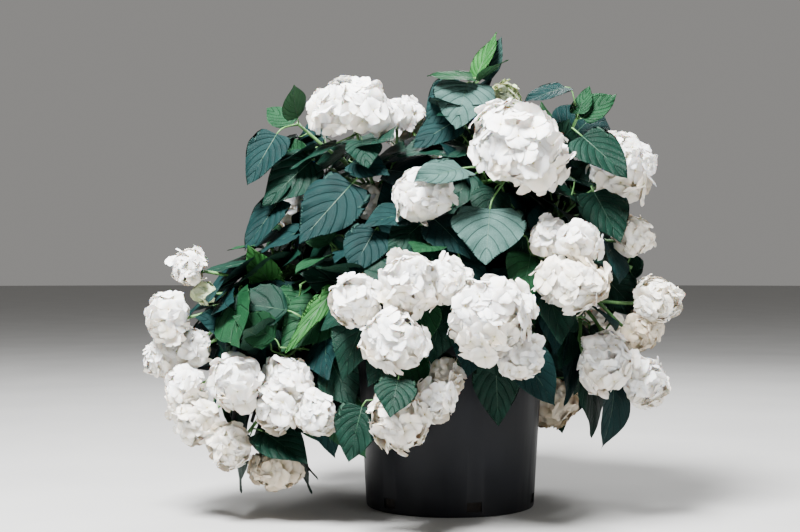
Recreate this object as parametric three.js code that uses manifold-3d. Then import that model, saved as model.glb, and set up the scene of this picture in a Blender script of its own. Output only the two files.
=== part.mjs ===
// A white mophead hydrangea in a black plastic nursery pot.
// Millimetres, +Z up. The origin is the middle of the pot's flat underside, and -Y is the front.
// Woody canes rise from the potting mix and arch over the rim. Each ends in a mass of green shoots
// that carry opposite pairs of broad leaves and end in a flower head or a leafy tip.
import * as THREE from "three";
import { mergeVertices } from "three/addons/utils/BufferGeometryUtils.js";
import Module from "manifold-3d";

const wasm = await Module();
wasm.setup();

// The pot, a straight-sided nursery container with square drain holes round its foot.
const POT = {
  height: 300,
  footRadius: 150,
  topRadius: 168,
  wall: 3.2,
  floor: 5,
  footBevel: 3,
  rimDepth: 24,
  rimStep: 5,
  segments: 32,
};
const DRAIN = { count: 6, width: 27, height: 17, sill: 9, firstBearing: -46 };
const MIX_TOP = 272;
const GAP = 0.3;

// The canes, each one tapering limb from a flat cut at the mix to the fork of its mass.
const CANE = { footRadius: 8, tipRadius: 4.8, sides: 4, steps: 4 };
const INNER_RING = 36;
const MIDDLE_RING = 60;
const OUTER_RING = 92;

// The shoots of a mass, and the leaves on them.
const STEM = { rootRadius: 4.6, tipRadius: 3.6, share: 0.5, sides: 4 };
const SHOOT = { rootRadius: 3.3, tipRadius: 2.6, sides: 3, stepLength: 75, bend: 0.36 };
const LEAF = {
  length: 148,
  lengthSpread: 0.3,
  widthShare: 0.76,
  petiole: 30,
  neckHalfWidth: 2.4,
  rootOffset: 0.4,
  thickness: 2.4,
  firstNode: 24,
  nodeSpacing: 61,
  pairsMost: 4,
  tries: 6,
  shoulderAt: 0.28,
  cheekAt: 0.66,
  middleAt: 0.42,
};

// A flower head is a cushion, fuller above than below, set along its shoot's last direction.
const HEAD = { aboveShare: 0.46, belowShare: 0.33, lump: 0.08, sunk: 0.22 };
const LARGE_HEAD = { sides: 8, bands: 4 };
const SMALL_HEAD = { sides: 8, bands: 3, widest: 90 };

// Masses keep apart on a grid of cubes: a leaf that comes beside a cube of another mass is left off.
const CUBE = 7;
const SAMPLE_STEP = 5;
const SPACE = { low: [-620, -520, -20], cubes: [180, 150, 130] };
const GROUND_CLEARANCE = 14;
const POT_CLEARANCE = 8;
const GROWN_LEAF_ROOM = { crowded: 0.08, inHead: 0.02 };
const BROAD_LEAF_ROOM = { crowded: 0.5, inHead: 0.5 };

const UP = new THREE.Vector3(0, 0, 1);
const ACROSS = new THREE.Vector3(1, 0, 0);
const HEART = new THREE.Vector3(0, 0, 330);
const degrees = THREE.MathUtils.degToRad;

// A place by its distance to the right, up from the ground and forward of the pot's axis.
// A roll turns a shoot's first pair of leaves: 0 is level, and 90 is one above and one below.
const place = (right, up, forward) => new THREE.Vector3(right, -forward, up);
// A rise sets how far a flower head faces up.
const head = (right, up, forward, width, { roll = null, rise = null } = {}) => {
  return { centre: place(right, up, forward), width, roll, rise };
};
const leafyTip = (right, up, forward) => head(right, up, forward, 0);

// A broad leaf that shows well on its own, from the foot of its blade to the tip. Its upper side
// faces forward and up, or the way that is given, and its width is a share of its length.
const blade = (from, to, face = [0, 0.65, 1], wide = 0.78) => {
  return { from: place(...from), to: place(...to), face: place(...face), wide };
};

// Flower heads spread evenly about a bearing from the front, by turns off their level by the rise.
function spread(bearing, up, reach, rise, widths) {
  const turnStep = 24;
  return widths.map((width, i) => {
    const turn = degrees(bearing + turnStep * (i - (widths.length - 1) / 2));
    const level = up + (i % 2 ? -rise : rise);
    return head(Math.sin(turn) * reach, level, Math.cos(turn) * reach, width);
  });
}

// Each mass: its name, the ring its cane stands on, the fork at the cane's tip, and the ends of its shoots.
const MASSES = [
  {
    name: "top",
    ring: INNER_RING,
    fork: place(45, 520, 70),
    ends: [
      head(102, 616, 230, 184, { rise: 1.7 }),
      head(96, 722, 40, 64),
      leafyTip(35, 744, 116),
    ],
    blades: [
      blade([57, 521, 238], [46, 434, 312], [0, 0.75, 1], 0.96),
      blade([26, 741, 130], [2, 660, 190], [0, 0.9, 1], 0.92),
      blade([35, 750, 128], [-44, 755, 150], [0, 1, 0.5], 0.62),
      blade([41, 753, 116], [75, 837, 95], [-1, 0.2, 0.8], 0.5),
      blade([48, 752, 110], [88, 825, 85], [0.6, 0.3, -1], 0.5),
      blade([5, 678, 110], [-70, 632, 140], [-0.1, 0.8, 1], 0.7),
      blade([21, 743, 98], [-47, 671, 112], [-0.2, 0.6, 1], 0.8),
    ],
  },
  {
    name: "upper_left",
    ring: INNER_RING,
    fork: place(-105, 480, 45),
    ends: [
      head(-174, 690, 120, 146, { rise: 3 }),
      head(-102, 684, 70, 80, { rise: 2 }),
      head(-139, 541, 60, 78),
      leafyTip(-272, 680, 60),
      leafyTip(-262, 592, 80),
    ],
    blades: [
      blade([-171, 567, 160], [-259, 469, 210], [-0.2, 0.5, 1], 0.72),
      blade([-304, 657, 92], [-354, 569, 125], [-0.35, 0.5, 1], 0.66),
      blade([-297, 543, 92], [-361, 457, 120], [-0.7, 0.5, 0.9], 0.66),
      blade([-171, 604, 150], [-108, 583, 192], [0, 0.8, 1], 0.74),
      blade([-154, 640, 165], [-143, 592, 215], [0, 0.8, 1], 0.8),
      blade([-199, 638, 130], [-282, 598, 120], [0.2, 1, 0.3], 0.6),
    ],
  },
  {
    name: "upper_right",
    ring: INNER_RING,
    fork: place(135, 460, 40),
    ends: [
      head(286, 598, 100, 142),
      head(307, 480, 110, 80),
      leafyTip(220, 690, 85),
      leafyTip(318, 425, 60),
    ],
    blades: [
      blade([217, 647, 165], [288, 577, 215], [0.1, 0.9, 1], 0.72),
      blade([240, 554, 140], [280, 470, 192], [0.2, 0.6, 1], 0.8),
      blade([198, 740, 80], [121, 713, 125], [-0.2, 1, 0.6], 0.62),
      blade([219, 692, 95], [242, 748, 60], [-0.6, 0.2, 1], 0.5),
      blade([226, 685, 92], [289, 732, 75], [0.1, 0.9, 0.8], 0.62),
      blade([318, 452, 60], [296, 392, 20]),
    ],
  },
  {
    name: "centre_left",
    ring: MIDDLE_RING,
    fork: place(-60, 410, 110),
    ends: [head(-54, 543, 230, 104), leafyTip(-205, 455, 170), leafyTip(-30, 470, 225)],
    blades: [
      blade([-131, 488, 205], [-171, 418, 255], [-0.1, 0.6, 1], 0.78),
      blade([-57, 496, 200], [-110, 451, 245], [0, 0.7, 1], 0.72),
    ],
  },
  {
    name: "front_centre",
    ring: OUTER_RING,
    fork: place(15, 385, 150),
    ends: [
      head(-159, 373, 330, 94),
      head(-96, 312, 365, 117),
      head(-74, 400, 350, 102),
      head(-15, 406, 330, 84),
      head(50, 347, 350, 143),
      head(101, 284, 320, 73, { roll: 0 }),
    ],
    blades: [
      blade([66, 278, 242], [71, 165, 240], [0, 0.3, 1], 0.64),
      blade([-93, 254, 388], [-104, 205, 446]),
    ],
  },
  {
    name: "front_low",
    ring: OUTER_RING,
    fork: place(-75, 352, 165),
    ends: [head(-92, 188, 335, 106, { roll: 0 }), head(-38, 218, 312, 74), head(-21, 250, 262, 68)],
    blades: [blade([-150, 206, 318], [-172, 120, 332], [-0.2, 0.4, 1])],
  },
  {
    name: "right_middle",
    ring: MIDDLE_RING,
    fork: place(105, 400, 130),
    ends: [
      head(155, 473, 240, 76),
      head(199, 465, 270, 78),
      head(185, 399, 290, 134),
    ],
  },
  {
    name: "right_side",
    ring: OUTER_RING,
    fork: place(175, 365, 75),
    ends: [
      head(245, 270, 220, 108),
      head(321, 231, 170, 92),
      head(346, 370, 130, 98),
      head(322, 318, 120, 76),
    ],
  },
  {
    name: "left_inner",
    ring: OUTER_RING,
    fork: place(-165, 350, 110),
    ends: [
      head(-356, 238, 230, 105),
      head(-270, 240, 220, 96),
      head(-290, 195, 230, 84),
      head(-223, 188, 260, 76),
      leafyTip(-268, 325, 200),
    ],
    blades: [blade([-250, 384, 150], [-300, 356, 202]), blade([-214, 363, 190], [-286, 290, 232])],
  },
  {
    name: "left_upper",
    ring: OUTER_RING,
    fork: place(-190, 400, 55),
    ends: [
      head(-451, 426, 120, 72),
      head(-428, 381, 100, 46),
      head(-479, 340, 150, 92),
      head(-447, 287, 110, 82),
      head(-500, 268, 120, 66),
      leafyTip(-318, 462, 50),
    ],
    blades: [
      blade([-306, 390, 140], [-347, 461, 175], [-0.4, 0.2, 1], 0.62),
      blade([-318, 372, 118], [-403, 355, 128]),
      blade([-356, 326, 160], [-430, 345, 198]),
    ],
  },
  {
    name: "left_lower",
    ring: OUTER_RING,
    fork: place(-200, 345, -8),
    ends: [
      head(-449, 222, 165, 82),
      head(-432, 172, 170, 92),
      head(-371, 129, 195, 82),
      head(-297, 85, 150, 104),
    ],
  },
  {
    name: "back_top",
    ring: INNER_RING,
    fork: place(-25, 500, -60),
    ends: [...spread(185, 655, 190, 42, [128, 118]), head(-75, 690, -90, 96)],
  },
  {
    name: "back_left",
    ring: MIDDLE_RING,
    fork: place(-150, 430, -60),
    ends: [...spread(230, 500, 300, 42, [118, 98, 108]), leafyTip(-250, 610, -90)],
  },
  {
    name: "back_middle",
    ring: MIDDLE_RING,
    fork: place(10, 420, -150),
    ends: spread(182, 452, 345, -42, [124, 136, 104]),
  },
  {
    name: "back_right",
    ring: MIDDLE_RING,
    fork: place(150, 430, -70),
    ends: [...spread(134, 500, 300, 42, [96, 118, 92]), leafyTip(190, 640, -80)],
  },
  {
    name: "back_low_left",
    ring: OUTER_RING,
    fork: place(-125, 350, -140),
    ends: spread(222, 250, 350, 42, [108, 92, 116, 86]),
  },
  {
    name: "back_low_right",
    ring: OUTER_RING,
    fork: place(125, 350, -115),
    ends: [...spread(142, 252, 335, 42, [112, 88, 104]), head(194, 176, -60, 92)],
  },
];

const COLOURS = {
  pot: new THREE.MeshStandardMaterial({ color: 0x15161b, roughness: 0.5, metalness: 0 }),
  mix: new THREE.MeshStandardMaterial({ color: 0x2b2019, roughness: 0.95, metalness: 0 }),
  cane: new THREE.MeshStandardMaterial({ color: 0x7a6a50, roughness: 0.85, metalness: 0 }),
  foliage: new THREE.MeshStandardMaterial({ color: 0x2f5a3f, roughness: 0.6, metalness: 0 }),
};

// Numbers from 0 to 1 that repeat for the same seed.
function seededRandom(seed) {
  const scale = 4294967296;
  let state = seed >>> 0;
  return () => {
    state = (Math.imul(state, 1664525) + 1013904223) >>> 0;
    return state / scale;
  };
}

const between = (low, high, share) => low + (high - low) * share;
const blend = (a, b, share) => a.clone().lerp(b, share);
const along = (from, direction, distance) => from.clone().addScaledVector(direction, distance);

// Solids and meshes
function solidOf(geometry) {
  const bare = geometry.clone();
  bare.deleteAttribute("normal");
  bare.deleteAttribute("uv");
  const merged = mergeVertices(bare, 1e-3);
  return new wasm.Manifold(
    new wasm.Mesh({
      numProp: 3,
      vertProperties: new Float32Array(merged.attributes.position.array),
      triVerts: new Uint32Array(merged.index.array),
    }),
  );
}

function geometryOf(solid) {
  const mesh = solid.getMesh();
  const positions = new Float32Array(mesh.numVert * 3);
  for (let i = 0; i < mesh.numVert; i++) {
    positions.set(mesh.vertProperties.subarray(i * mesh.numProp, i * mesh.numProp + 3), i * 3);
  }
  const geometry = new THREE.BufferGeometry();
  geometry.setAttribute("position", new THREE.BufferAttribute(positions, 3));
  geometry.setIndex(new THREE.BufferAttribute(new Uint32Array(mesh.triVerts), 1));
  geometry.computeVertexNormals();
  return geometry;
}

function facesOf(points, faces) {
  const geometry = new THREE.BufferGeometry();
  const positions = new Float32Array(points.flatMap((p) => [p.x, p.y, p.z]));
  geometry.setAttribute("position", new THREE.BufferAttribute(positions, 3));
  geometry.setIndex(faces.flat());
  return geometry;
}

function namedMesh(name, geometry, material) {
  const mesh = new THREE.Mesh(geometry, material);
  mesh.name = name;
  return mesh;
}

// Curves
function curvePoints(start, startPull, endPull, end, steps) {
  const curve = new THREE.CubicBezierCurve3(start, startPull, endPull, end);
  return Array.from({ length: steps + 1 }, (_, i) => curve.getPoint(i / steps));
}

function lengthOf(points) {
  return points.slice(1).reduce((sum, p, i) => sum + p.distanceTo(points[i]), 0);
}

// The point and the direction at a distance along a line of points.
function stationOn(points, distance) {
  let left = distance;
  for (let i = 1; i < points.length; i++) {
    const step = points[i].distanceTo(points[i - 1]);
    if (left <= step || i === points.length - 1) {
      const direction = points[i].clone().sub(points[i - 1]).normalize();
      return { point: along(points[i - 1], direction, Math.min(left, step)), direction };
    }
    left -= step;
  }
  return null;
}

// Two directions square to a limb, the first of them level.
function squareTo(direction) {
  const nearlyUpright = 0.96;
  const level = new THREE.Vector3().crossVectors(direction, UP);
  if (Math.abs(direction.z) > nearlyUpright) level.copy(ACROSS).projectOnPlane(direction);
  level.normalize();
  return [level, new THREE.Vector3().crossVectors(level, direction).normalize()];
}

// A tapering limb along a line of points, cut square to its first and last directions.
function limbSolid(points, rootRadius, tipRadius, sides, firstWay, lastWay) {
  const last = points.length - 1;
  const rings = points.map((point, i) => {
    const chord = points[Math.min(i + 1, last)].clone().sub(points[Math.max(i - 1, 0)]);
    const direction = [firstWay, ...Array(last - 1).fill(chord), lastWay][i].clone().normalize();
    return { point, direction, radius: between(rootRadius, tipRadius, i / last) };
  });
  let side = squareTo(rings[0].direction)[0];
  const corners = [];
  for (const { point, direction, radius } of rings) {
    side = side.clone().projectOnPlane(direction).normalize();
    const other = new THREE.Vector3().crossVectors(direction, side);
    for (let k = 0; k < sides; k++) {
      const turn = (2 * Math.PI * k) / sides;
      const corner = along(point, side, Math.cos(turn) * radius);
      corners.push(corner.addScaledVector(other, Math.sin(turn) * radius));
    }
  }
  const faces = [];
  for (let i = 0; i + 1 < rings.length; i++) {
    for (let k = 0; k < sides; k++) {
      const a = i * sides + k;
      const b = i * sides + ((k + 1) % sides);
      faces.push([a, b, b + sides], [a, b + sides, a + sides]);
    }
  }
  const cap = last * sides;
  for (let k = 1; k + 1 < sides; k++) {
    faces.push([0, k + 1, k], [cap, cap + k, cap + k + 1]);
  }
  return solidOf(facesOf(corners, faces));
}

// The pot and its filling
function potRadiusAt(height) {
  return between(POT.footRadius, POT.topRadius, THREE.MathUtils.clamp(height / POT.height, 0, 1));
}

function potSolid() {
  const rimFoot = POT.height - POT.rimDepth;
  const outer = potRadiusAt(rimFoot);
  const rimRadius = outer + POT.rimStep;
  const profile = [
    [0, 0],
    [POT.footRadius - POT.footBevel, 0],
    [potRadiusAt(POT.footBevel), POT.footBevel],
    [outer, rimFoot],
    [rimRadius, rimFoot + POT.rimStep],
    [rimRadius + 1, POT.height],
    [outer - POT.wall, POT.height],
    [outer - POT.wall, rimFoot],
    [potRadiusAt(POT.floor) - POT.wall, POT.floor],
    [0, POT.floor],
  ].map(([radius, height]) => new THREE.Vector2(radius, height));
  const turned = new THREE.LatheGeometry(profile, POT.segments);
  turned.rotateX(Math.PI / 2);
  let solid = solidOf(turned);
  for (let i = 0; i < DRAIN.count; i++) {
    const bearing = degrees(DRAIN.firstBearing + (360 / DRAIN.count) * i);
    const cutter = new THREE.BoxGeometry(DRAIN.width, 6 * POT.wall, DRAIN.height);
    cutter.translate(0, -POT.footRadius + POT.wall, DRAIN.sill + DRAIN.height / 2);
    cutter.rotateZ(bearing);
    solid = solid.subtract(solidOf(cutter));
  }
  return solid;
}

function mixSolid() {
  const side = (height) => potRadiusAt(height) - POT.wall - GAP - 0.4;
  const foot = POT.floor + GAP;
  const crown = 5;
  const profile = [
    [0, foot],
    [side(foot), foot],
    [side(MIX_TOP - crown), MIX_TOP - crown],
    [side(MIX_TOP) * 0.9, MIX_TOP],
    [0, MIX_TOP],
  ].map(([radius, height]) => new THREE.Vector2(radius, height));
  const turned = new THREE.LatheGeometry(profile, POT.segments);
  turned.rotateX(Math.PI / 2);
  return solidOf(turned);
}

// The cane of a mass: upright out of the mix, then over towards the middle of its shoot ends.
function canePath(mass) {
  const { fork, ring } = mass;
  const outward = new THREE.Vector3(fork.x, fork.y, 0).normalize();
  const foot = outward.clone().multiplyScalar(ring);
  foot.z = MIX_TOP + GAP;
  const reach = fork.distanceTo(foot);
  return curvePoints(
    foot,
    along(foot, UP, reach * 0.4),
    along(fork, massDirection(mass), -reach * 0.34),
    fork,
    CANE.steps,
  );
}

function massCentre(mass) {
  const sum = mass.ends.reduce((total, end) => total.add(end.centre), new THREE.Vector3());
  return sum.divideScalar(mass.ends.length);
}

// The way a mass sets off from its fork: at its shoot ends, lifted so that the low ones arch over.
function massDirection(mass) {
  const lift = 0.45;
  const towards = massCentre(mass).sub(mass.fork).normalize();
  return towards.addScaledVector(UP, lift).normalize();
}

// The way a shoot end faces: outward from the heart of the shrub, up when high and level when low.
function facingOf(end) {
  const outward = end.centre.clone().sub(HEART);
  const rise = end.rise ?? THREE.MathUtils.clamp((end.centre.z - 300) / 330, -0.3, 1);
  outward.z = 0;
  outward.normalize();
  return outward.addScaledVector(UP, rise).normalize();
}

// The stem of a mass and the line of each of its shoots.
function shootsOf(mass) {
  const ahead = massDirection(mass);
  const root = along(mass.fork, ahead, GAP);
  const stemLength = STEM.share * massCentre(mass).distanceTo(mass.fork);
  const stemTip = along(root, ahead, stemLength);
  const shoots = mass.ends.map((end, i) => {
    const share = (i + 1) / mass.ends.length;
    const fork = blend(root, stemTip, between(0.3, 0.98, share));
    const facing = facingOf(end);
    const finish = along(end.centre, facing, -HEAD.sunk * end.width);
    const reach = finish.clone().sub(fork);
    const aside = reach.clone().projectOnPlane(ahead).normalize();
    const start = along(fork, aside, STEM.tipRadius - SHOOT.rootRadius / 2);
    const setOff = along(ahead, reach.clone().normalize(), 0.9).normalize();
    const pull = SHOOT.bend * reach.length();
    const points = curvePoints(
      start,
      along(start, setOff, pull),
      along(finish, facing, -pull),
      finish,
      Math.max(3, Math.round(reach.length() / SHOOT.stepLength)),
    );
    return { ...end, facing, setOff, points };
  });
  return { root, stemTip, ahead, shoots };
}

// A leaf's half width at a share of its length: broad near the stalk, drawn out to a point.
function halfWidth(share) {
  const rise = 0.5;
  const fall = 0.85;
  const broadest = rise / (rise + fall);
  const shape = (t) => t ** rise * (1 - t) ** fall;
  return (0.5 * shape(share)) / shape(broadest);
}

// A point of a leaf's blade, by its share of the length and from -1 to 1 across.
function bladePoint(leaf, share, across) {
  const half = halfWidth(share) * leaf.width;
  const point = along(leaf.joint, leaf.direction, leaf.length * share);
  point.addScaledVector(leaf.normal, -leaf.curl * leaf.length * share * share);
  point.addScaledVector(leaf.side, half * across);
  return point.addScaledVector(leaf.normal, leaf.fold * half * Math.abs(across));
}

// The leaves of a shoot: opposite pairs, each turned a quarter from the last, hanging under their
// weight. Each leaf comes as a few tries, smaller and more turned each time.
function leavesOf(shoot, seed) {
  const random = seededRandom(seed);
  random();
  const length = lengthOf(shoot.points);
  const anyRoll = 360 * random();
  const roll = shoot.roll ?? anyRoll;
  const leafy = shoot.width === 0;
  const clearOfHead = leafy ? 4 : LEAF.firstNode + HEAD.belowShare * shoot.width * 0.4;
  const leaves = [];
  for (let pair = 0; pair < LEAF.pairsMost; pair++) {
    const back = clearOfHead + pair * LEAF.nodeSpacing;
    if (back > length - 8) break;
    const { point, direction } = stationOn(shoot.points, length - back);
    const [level, other] = squareTo(direction);
    const young = leafy ? Math.min(1, 0.5 + 0.28 * pair) : Math.min(1, 0.84 + 0.1 * pair);
    for (let hand = 0; hand < 2; hand++) {
      const tries = [];
      for (let i = 0; i < LEAF.tries; i++) {
        const turn = degrees(roll + 90 * pair + 180 * hand + (20 + 30 * i) * (random() - 0.5));
        const outward = level.clone().multiplyScalar(Math.cos(turn));
        outward.addScaledVector(other, Math.sin(turn));
        const size = LEAF.length * young * (1 - 0.07 * i) * (1 + LEAF.lengthSpread * (random() - 0.5));
        const weight = random();
        const droop = leafy
          ? between(-0.5, 0.8, Math.min(1, (pair + 0.3 * i) / 2))
          : between(0.45, 1.3, weight);
        const root = along(point, outward, LEAF.rootOffset);
        tries.push(grownLeaf(root, direction, outward, size, droop, random));
      }
      leaves.push(tries);
    }
  }
  return leaves;
}

// The way out from the heart of the shrub, more level than straight.
function outwardFrom(point) {
  const outward = point.clone().sub(HEART);
  outward.z *= 0.5;
  return outward.normalize();
}

function grownLeaf(root, shootDirection, outward, length, droop, random) {
  const fromHeart = outwardFrom(root);
  const stalkWay = outward.clone().addScaledVector(shootDirection, 0.55);
  stalkWay.addScaledVector(UP, 0.1).normalize();
  const joint = along(root, stalkWay, LEAF.petiole * (length / LEAF.length));
  const direction = stalkWay.clone().addScaledVector(fromHeart, 0.45);
  direction.addScaledVector(UP, -droop).normalize();
  const light = UP.clone().addScaledVector(fromHeart, 1.4);
  light.addScaledVector(outward, 0.3 * (random() - 0.5));
  const normal = light.projectOnPlane(direction).normalize();
  return {
    root,
    joint,
    direction,
    normal,
    side: new THREE.Vector3().crossVectors(normal, direction),
    length,
    width: length * LEAF.widthShare * (1 + 0.16 * (random() - 0.5)),
    curl: between(0.08, 0.3, random()),
    fold: between(0.1, 0.34, random()),
  };
}

// A broad leaf from the foot of its blade to its tip, on a stalk from the nearest point of a shoot.
function broadLeaf({ from, to, face, wide }, shoots) {
  const points = shoots.flatMap((shoot) => lineSamples(shoot.points).slice(1, -1));
  const root = points.reduce((a, b) => (a.distanceTo(from) <= b.distanceTo(from) ? a : b));
  const direction = to.clone().sub(from);
  const length = direction.length();
  direction.normalize();
  const normal = face.clone().projectOnPlane(direction).normalize();
  const side = new THREE.Vector3().crossVectors(normal, direction);
  const width = length * wide;
  return { root, joint: from, direction, normal, side, length, width, curl: 0.06, fold: 0.16 };
}

// A leaf as one thin closed blade that narrows to a stalk, whose root is inside its shoot.
function leafCorners(leaf) {
  const { joint, side, normal } = leaf;
  const middle = bladePoint(leaf, LEAF.middleAt, 0);
  return [
    leaf.root,
    along(joint, side, -LEAF.neckHalfWidth),
    bladePoint(leaf, LEAF.shoulderAt, -1),
    bladePoint(leaf, LEAF.cheekAt, -1),
    bladePoint(leaf, 1, 0),
    bladePoint(leaf, LEAF.cheekAt, 1),
    bladePoint(leaf, LEAF.shoulderAt, 1),
    along(joint, side, LEAF.neckHalfWidth),
    along(middle, normal, LEAF.thickness / 2),
    along(middle, normal, -LEAF.thickness / 2),
  ];
}

const LEAF_EDGE = 8;
const LEAF_TOP = 8;
const LEAF_UNDER = 9;

function leafFaces() {
  return Array.from({ length: LEAF_EDGE }, (_, i) => {
    const next = (i + 1) % LEAF_EDGE;
    return [
      [i, next, LEAF_TOP],
      [next, i, LEAF_UNDER],
    ];
  }).flat();
}

// The directions square to a head's facing, and its reach from the centre in a direction.
function headFrame(end) {
  const [level, other] = squareTo(end.facing);
  return { level, other };
}

function headReach(width, upShare) {
  const round = width / 2;
  const deep = width * (upShare > 0 ? HEAD.aboveShare : HEAD.belowShare);
  const flat = Math.sqrt(Math.max(0, 1 - upShare * upShare));
  return 1 / Math.hypot(flat / round, upShare / deep);
}

// A flower head as one lumpy cushion.
function headSolid(end, seed) {
  const random = seededRandom(seed);
  random();
  const { level, other } = headFrame(end);
  const { sides, bands } = end.width > SMALL_HEAD.widest ? LARGE_HEAD : SMALL_HEAD;
  const ball = new THREE.SphereGeometry(1, sides, bands);
  ball.rotateX(Math.PI / 2);
  ball.deleteAttribute("normal");
  ball.deleteAttribute("uv");
  const merged = mergeVertices(ball, 1e-3);
  const positions = merged.attributes.position;
  for (let i = 0; i < positions.count; i++) {
    const v = new THREE.Vector3().fromBufferAttribute(positions, i).normalize();
    const reach = headReach(end.width, v.z) * (1 + HEAD.lump * (random() - 0.3));
    const point = along(end.centre, level, v.x * reach);
    point.addScaledVector(other, v.y * reach).addScaledVector(end.facing, v.z * reach);
    positions.setXYZ(i, point.x, point.y, point.z);
  }
  const solid = solidOf(merged);
  return solid.volume() > 0 ? solid : solidOf(flipped(merged));
}

function flipped(geometry) {
  const index = geometry.index.array;
  for (let i = 0; i < index.length; i += 3) {
    [index[i + 1], index[i + 2]] = [index[i + 2], index[i + 1]];
  }
  return geometry;
}

// The space the shrub may fill, as a grid of cubes. Each cube holds one bit for each owner that has
// a point in it or beside it, and a mark where a leaf is.
class Space {
  constructor() {
    const [across, deep, high] = SPACE.cubes;
    this.beside = new Int32Array(across * deep * high);
    this.leafy = new Uint8Array(across * deep * high);
  }

  cubeOf(point) {
    const [x, y, z] = point.toArray().map((value, i) => Math.floor((value - SPACE.low[i]) / CUBE));
    return (x * SPACE.cubes[1] + y) * SPACE.cubes[2] + z;
  }

  claim(points, owner, margin = 1) {
    const [, deep, high] = SPACE.cubes;
    for (const cube of new Set(points.map((point) => this.cubeOf(point)))) {
      for (let i = -margin; i <= margin; i++) {
        for (let j = -margin; j <= margin; j++) {
          for (let k = -margin; k <= margin; k++) {
            this.beside[cube + (i * deep + j) * high + k] |= 1 << owner;
          }
        }
      }
    }
  }

  claimLeaf(points, owner) {
    this.claim(points, owner);
    points.forEach((point) => {
      this.leafy[this.cubeOf(point)] = 1;
    });
  }

  meetsOther(points, owner) {
    return points.some((point) => this.beside[this.cubeOf(point)] & ~(1 << owner));
  }

  crowding(points) {
    return points.filter((point) => this.leafy[this.cubeOf(point)]).length / points.length;
  }
}

// Points over a leaf's faces, and along a line.
function leafSamples(leaf) {
  const corners = leafCorners(leaf);
  const samples = lineSamples([leaf.root, leaf.joint]);
  const middle = corners[LEAF_TOP];
  corners.slice(0, LEAF_EDGE).forEach((a, i) => {
    const b = corners[(i + 1) % LEAF_EDGE];
    const longest = Math.max(a.distanceTo(b), a.distanceTo(middle), b.distanceTo(middle));
    const steps = Math.ceil(longest / SAMPLE_STEP);
    for (let j = 0; j <= steps; j++) {
      for (let k = 0; j + k <= steps; k++) {
        const point = middle.clone().multiplyScalar(1 - (j + k) / steps);
        point.addScaledVector(a, j / steps).addScaledVector(b, k / steps);
        samples.push(point);
      }
    }
  });
  return samples;
}

function lineSamples(points) {
  const length = lengthOf(points);
  const steps = Math.ceil(length / SAMPLE_STEP);
  return Array.from({ length: steps + 1 }, (_, i) => stationOn(points, (length * i) / steps).point);
}

function headSamples(end) {
  const { level, other } = headFrame(end);
  const rings = Math.ceil((Math.PI * end.width) / 2 / SAMPLE_STEP);
  const samples = [];
  for (let i = 0; i <= rings; i++) {
    const tilt = (Math.PI * i) / rings;
    const around = Math.max(1, Math.ceil((Math.PI * end.width * Math.sin(tilt)) / SAMPLE_STEP));
    for (let k = 0; k < around; k++) {
      const turn = (2 * Math.PI * k) / around;
      const reach = headReach(end.width, Math.cos(tilt));
      const point = along(end.centre, end.facing, Math.cos(tilt) * reach);
      point.addScaledVector(level, Math.sin(tilt) * Math.cos(turn) * reach);
      samples.push(point.addScaledVector(other, Math.sin(tilt) * Math.sin(turn) * reach));
    }
  }
  return samples;
}

function inHead(point, end) {
  const offset = point.clone().sub(end.centre);
  const distance = offset.length();
  if (distance > end.width / 2) return false;
  return distance < headReach(end.width, offset.dot(end.facing) / distance);
}

function meetsPotOrGround(points) {
  return points.some((point) => {
    const inReach = Math.hypot(point.x, point.y) < potRadiusAt(point.z) + POT.rimStep + POT_CLEARANCE;
    return point.z < GROUND_CLEARANCE || (inReach && point.z < POT.height + POT_CLEARANCE);
  });
}

// Growth: the canes, heads and shoots first, then the leaves, pair by pair from the outside in.
function grow() {
  const limbsOwner = 0;
  const limbMargin = 2;
  const space = new Space();
  const plants = MASSES.map((mass, index) => {
    const owner = index + 1;
    const cane = canePath(mass);
    const { root, stemTip, ahead, shoots } = shootsOf(mass);
    space.claim(lineSamples(cane), limbsOwner, limbMargin);
    space.claim(lineSamples([root, stemTip]), owner);
    shoots.forEach((shoot, i) => {
      space.claim(lineSamples(shoot.points), owner);
      if (shoot.width) space.claim(headSamples(shoot), owner);
      shoot.seed = 7919 * owner + 1049 * (i + 1);
      shoot.offered = leavesOf(shoot, shoot.seed);
      shoot.leaves = [];
    });
    const broad = (mass.blades ?? []).map((ends) => broadLeaf(ends, shoots));
    return { name: mass.name, owner, cane, root, stemTip, ahead, shoots, broad };
  });
  for (const plant of plants) {
    plant.broad = plant.broad.filter((leaf) => fits(leaf, plant, space, BROAD_LEAF_ROOM));
    plant.broad.forEach((leaf) => space.claimLeaf(leafSamples(leaf), plant.owner));
  }
  for (let place = 0; place < 2 * LEAF.pairsMost; place++) {
    for (const plant of plants) {
      for (const shoot of plant.shoots) {
        const leaf = shoot.offered[place]?.find((tried) => {
          return fits(tried, plant, space, GROWN_LEAF_ROOM);
        });
        if (!leaf) continue;
        space.claimLeaf(leafSamples(leaf), plant.owner);
        shoot.leaves.push(leaf);
      }
    }
  }
  return plants;
}

// Whether a leaf keeps clear of the pot, the ground, its own flower heads and the other masses.
function fits(leaf, plant, space, room) {
  const samples = leafSamples(leaf);
  if (meetsPotOrGround(samples)) return false;
  const heads = plant.shoots.filter((shoot) => shoot.width);
  const hidden = samples.filter((point) => heads.some((end) => inHead(point, end)));
  if (hidden.length > room.inHead * samples.length) return false;
  return space.crowding(samples) <= room.crowded && !space.meetsOther(samples, plant.owner);
}

// The main body of a fused solid: loose scraps are dropped and sealed hollows filled. It is taken
// again once the vertices are merged, as merging can pinch off a scrap.
function mainBody(solid) {
  const largest = (best, part) => (part.volume() > best.volume() ? part : best);
  const body = solid.decompose().reduce(largest);
  return solidOf(geometryOf(body)).decompose().reduce(largest);
}

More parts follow.
